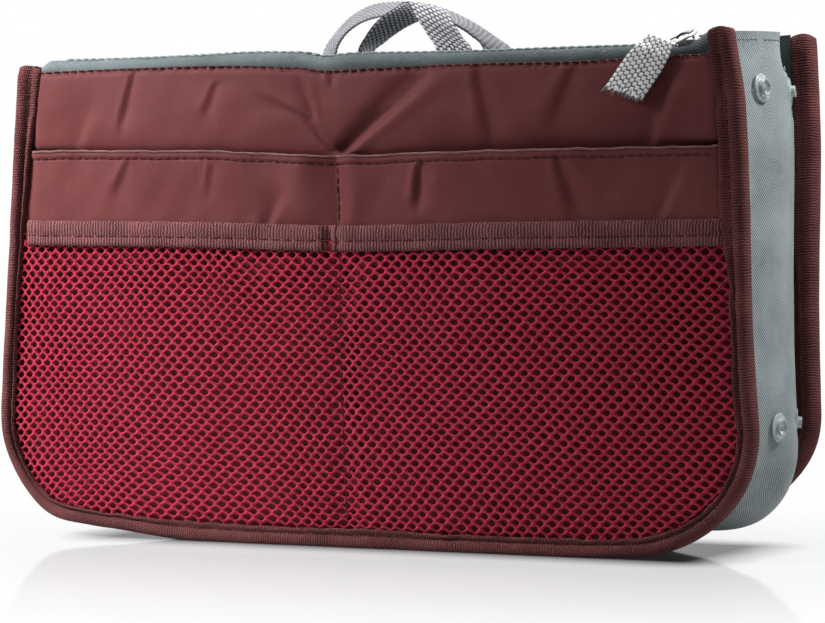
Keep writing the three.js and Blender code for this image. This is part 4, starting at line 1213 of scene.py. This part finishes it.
for name, span, body, replaced in (
    ("gusset_front_cloth", (0.0, FRONT_BAND), "front_wall", "gusset_front_band"),
    ("gusset_pleat_cloth", (FRONT_BAND, FRONT_BAND + PLEAT), "front_wall", "gusset_pleat"),
    ("gusset_rear_cloth", (FRONT_BAND + PLEAT, PAST_REAR_SEAM), "rear_wall", "gusset_rear_band"),
):
    cloth, sewn = gusset_band(name, *span, GUSSET_COLUMNS)
    dress(cloth, body, "slate_nylon", replaced)
    dress(sewn, body, "slate_nylon")
    if "pleat" in name:
        for soft in (cloth, sewn):
            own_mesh(soft)


# Press studs: profiles as radius and height
STUD_HEIGHTS = {"upper": 154.0, "lower": 42.0}
STUD_FROM_PLEAT = 5.4
STUD_LIFT = 0.3
CAP_DEPTH = 1.0  # from the gusset's outer face in to the caps
STUD_OFF_AXIS = (0.0, 0.3, 1.0)
STUD_STEPS = 36
SOCKET_PROFILE = [
    (1.45, 0.0), (4.6, 0.0), (4.85, 0.25), (4.85, 0.5), (4.5, 0.7), (3.5, 0.8), (3.25, 1.0), (3.15, 1.7),
    (2.9, 2.0), (2.4, 2.0), (2.2, 1.7), (2.15, 0.9), (1.45, 0.8),
]
STUD_PROFILE = [
    (1.45, 0.0), (4.6, 0.0), (4.85, 0.2), (4.85, 0.4), (4.5, 0.6), (2.4, 0.8), (2.05, 1.0), (1.9, 1.5),
    (2.05, 1.9), (1.9, 2.2), (1.6, 2.3), (1.45, 2.2),
]
CAP_PROFILE = [
    (0.0, -1.05), (3.0, -1.0), (4.5, -0.85), (5.05, -0.5), (4.9, -0.05), (1.2, 0.0), (1.1, 2.7),
    (0.8, 3.05), (0, 3.1),
]


def lathe(name, profile, at, out_way, material):
    """A turned piece: a ring if its profile starts off the axis."""
    profile = np.array(profile)
    spoke = round_section(out_way[None], STUD_STEPS, STUD_OFF_AXIS)[0]
    points = at + spoke[:, None] * profile[None, :, :1] + out_way * profile[None, :, 1:]
    faces = grid_faces(STUD_STEPS, len(profile), profile[0, 0] > 0, True)
    return piece(name, points, faces, material, closed=True, weld=True)


def stud_place(side, height, distance):
    """A place on the gusset's side, without its creases, and the direction straight out of it."""
    def at(up, deep):
        x = side * half_width(up, GUSSET_INSET)
        first, last = front(x, up, SEAM_OUT), rear(x, up, SEAM_OUT)
        span = np.linalg.norm(last - first)
        normal = np.array([side * math.cos(TAPER), 0, math.sin(TAPER)])
        bulge = SIDE_BULGE * abs(normal[0]) + BASE_BULGE * abs(normal[2])
        return first + (last - first) * deep / span + normal * bulge * math.sin(math.pi * deep / span)

    along_depth = at(height, distance + 1) - at(height, distance - 1)
    along_height = at(height + 1, distance) - at(height - 1, distance)
    out_way = unit(np.cross(along_depth, along_height))
    return at(height, distance), out_way * np.sign(out_way[0] * side)


for side_name, side in (("left", -1), ("right", 1)):
    for level, height in STUD_HEIGHTS.items():
        for kind, profile, distance, body in (
            ("socket", SOCKET_PROFILE, FRONT_BAND - STUD_FROM_PLEAT, "front_wall"),
            ("stud", STUD_PROFILE, FRONT_BAND + PLEAT + STUD_FROM_PLEAT, "rear_wall"),
        ):
            at, out_way = stud_place(side, height, distance)
            node = f"{side_name}_{level}_{kind}"
            outer = lathe(node + "_moulded", profile, at + out_way * STUD_LIFT, out_way, STUD)
            dress(outer, body, "clear_stud", node)
            behind = at - out_way * (CAP_DEPTH + STUD_LIFT)
            inner = lathe(node + "_cap_moulded", CAP_PROFILE, behind, out_way, STUD)
            dress(inner, body, "clear_stud", node + "_cap")


# Rear wall and linings
LEVEL_ROWS = np.linspace(0, 1, 60)
HEM_ROWS = np.r_[np.linspace(0, 0.95, 40), np.linspace(0.955, 1, 16)]
LINING_COLUMNS = 140


def add_panel(name, node, wall, inset, top, out, seed, wrinkles, hemmed):
    """Adds a plain panel: one that stands out of its wall is an outer one, and the others are linings."""
    place = front if wall == "front" else rear
    outer = out > 0
    facing = 1 if outer else -1
    slot = "burgundy_nylon" if outer else "slate_nylon"

    def level(x):
        return np.full_like(np.asarray(x, float), top)

    def shape(x, up):
        made = out + wrinkles * ripple(x, up, 48, seed) * np.sin(math.pi * np.clip((up - 6) / 158, 0, 1))
        made = made + 0.4 * wrinkles * ripple(x, 0.3 * up, 17, seed + 9) * smooth(100, 150, up)
        if not hemmed:
            return made
        below = top - up
        hem = hem_shape(below, doubled=0.45, groove=0.35, groove_width=0.5, turned=0.6, turn_width=0.5)
        return made + facing * (hem + 0.9 * smooth(26, 0, below) * np.cos(x / 95) ** 2)

    rows = HEM_ROWS if hemmed else LEVEL_ROWS
    material = BURGUNDY if outer else SLATE
    flip = (place is rear) == outer
    obj = wall_sheet(name, place, inset, rows, level, shape, LINING_COLUMNS, material, flip)
    dress(obj, wall + "_wall", slot, node)
    if hemmed:
        x = across_wall(top, 10, 160)
        sewn_up = top - HEM_STITCH
        run = place(x, sewn_up, shape(x, np.full_like(x, sewn_up)) + THREAD_LIFT * facing)
        thread = RED_THREAD if outer else SLATE_THREAD
        dress(stitches(name + "_stitches", [run], thread), wall + "_wall", slot)


for name, node, wall, inset, top, out, seed, wrinkles, hemmed in (
    ("rear_panel_cloth", "rear_panel", "rear", PANEL_INSET, 164.5, 0.9, 91, 0.9, False),
    ("rear_pocket_cloth", "rear_slip_pocket", "rear", POCKET_INSET, 118.0, 2.4, 92, 0.7, True),
    ("front_lining_cloth", "front_lining", "front", LINING_INSET, 163.0, -6.9, 93, 0.2, False),
    ("front_inner_cloth", "front_inner_pocket", "front", LINING_INSET, 108.0, -7.9, 94, 0.2, True),
    ("rear_lining_cloth", "rear_lining", "rear", LINING_INSET, 164.0, -2.7, 95, 0.2, False),
    ("rear_inner_cloth", "rear_inner_pocket", "rear", LINING_INSET, 100.0, -3.7, 96, 0.2, True),
):
    add_panel(name, node, wall, inset, top, out, seed, wrinkles, hemmed)


# Stage, in metres
FLOOR_SIZE = 12
# The floor's shade round the bag's foot is painted shadow: these set where its colour and white glow darken
SHADE_CENTRE = (0.01, -0.0065, 0)
SHADE_HALF = (0.104, 0.0275, 0)
SHADE_NEAR = 0.026  # from the bag's foot to the end of the dark shade
SHADE_FAR = 0.17  # and to the end of the light one
SKY_LIGHT = 0.045


def floor_look():
    """Pale floor with a painted shadow under and round the bag's foot, where its colour darkens and its
    white glow fades, and which mirrors the bag faintly.
    """
    look = Look("floor", Roughness=0.6, Specular_IOR_Level=0.0)
    place = look.node("NewGeometry").outputs["Position"]
    beyond = look.vector("ABSOLUTE", look.vector("SUBTRACT", place, SHADE_CENTRE))
    beyond = look.vector("MAXIMUM", look.vector("SUBTRACT", beyond, SHADE_HALF), (0, 0, 0))
    away = look.node("VectorMath", beyond, settings={"operation": "LENGTH"}).outputs["Value"]
    near = look.spread(away, 0.003, SHADE_NEAR, 0.02, 0.78)
    far = look.spread(away, SHADE_NEAR, SHADE_FAR, 0.0, 0.22)
    glow_share = look.math("MULTIPLY", look.math("ADD", near, far), look.seen())
    # Dark floor colour near the bag's foot: painted shadow
    pale = look.spread(away, 0.002, SHADE_NEAR)
    look.finish(Base_Color=look.mix(pale, (0.05, 0.055, 0.06, 1), (0.4, 0.4, 0.405, 1)))
    gloss = look.node("BsdfGlossy", Color=WHITE, Roughness=0.06).outputs[0]
    white = look.node("Emission", Color=WHITE, Strength=1.0).outputs[0]
    matt = look.node("MixShader", glow_share, look.shader.outputs[0], white).outputs[0]
    whole = look.node("MixShader", look.spread(away, 0.05, 0.24, 0.24, 0.0), matt, gloss).outputs[0]
    look.feed(look.tree.nodes["Material Output"].inputs["Surface"], whole)
    return look.material


bpy.ops.mesh.primitive_plane_add(size=FLOOR_SIZE)
floor = bpy.context.object
floor.name = "floor"
floor.data.materials.append(floor_look())

world = bpy.data.worlds.new("studio")
bpy.context.scene.world = world
world.use_nodes = True
sky = Nodes(world.node_tree)
background = world.node_tree.nodes["Background"].inputs
background["Color"].default_value = WHITE
sky.feed(background["Strength"], sky.spread(sky.seen(), 0.0, 1.0, SKY_LIGHT, 1.0))


def lamp(name, at, target, size, power, spread=180):
    data = bpy.data.lights.new(name, "AREA")
    data.shape = "DISK"
    data.size = size
    data.energy = power
    data.spread = math.radians(spread)
    obj = bpy.data.objects.new(name, data)
    obj.location = at
    obj.rotation_euler = (Vector(target) - Vector(at)).to_track_quat("-Z", "Y").to_euler()
    bpy.context.scene.collection.objects.link(obj)


lamp("key", (-0.44, -0.36, 0.42), (-0.21, -0.03, 0.11), size=0.24, power=1.2, spread=57)
lamp("side", (0.34, 0.09, 0.38), (0.14, 0, 0.15), size=0.14, power=1.65)
lamp("top", (0.14, -0.05, 0.72), (0.08, -0.03, 0.1), size=0.3, power=2.3)
lamp("back", (-0.1, 0.8, 0.8), (0, 0, 0.1), size=0.6, power=2.2)

camera_data = bpy.data.cameras.new("camera")
camera_data.sensor_width = CAMERA_SENSOR
camera_data.lens = CAMERA_LENS
camera = bpy.data.objects.new("camera", camera_data)
camera.location = Vector(CAMERA_AT) * MM
look_way = Vector((
    -math.sin(CAMERA_AZIMUTH) * math.cos(CAMERA_PITCH),
    math.cos(CAMERA_AZIMUTH) * math.cos(CAMERA_PITCH),
    math.sin(CAMERA_PITCH),
))
camera.rotation_euler = look_way.to_track_quat("-Z", "Y").to_euler()
bpy.context.scene.collection.objects.link(camera)
bpy.context.scene.camera = camera
bpy.context.scene.view_settings.view_transform = "Standard"
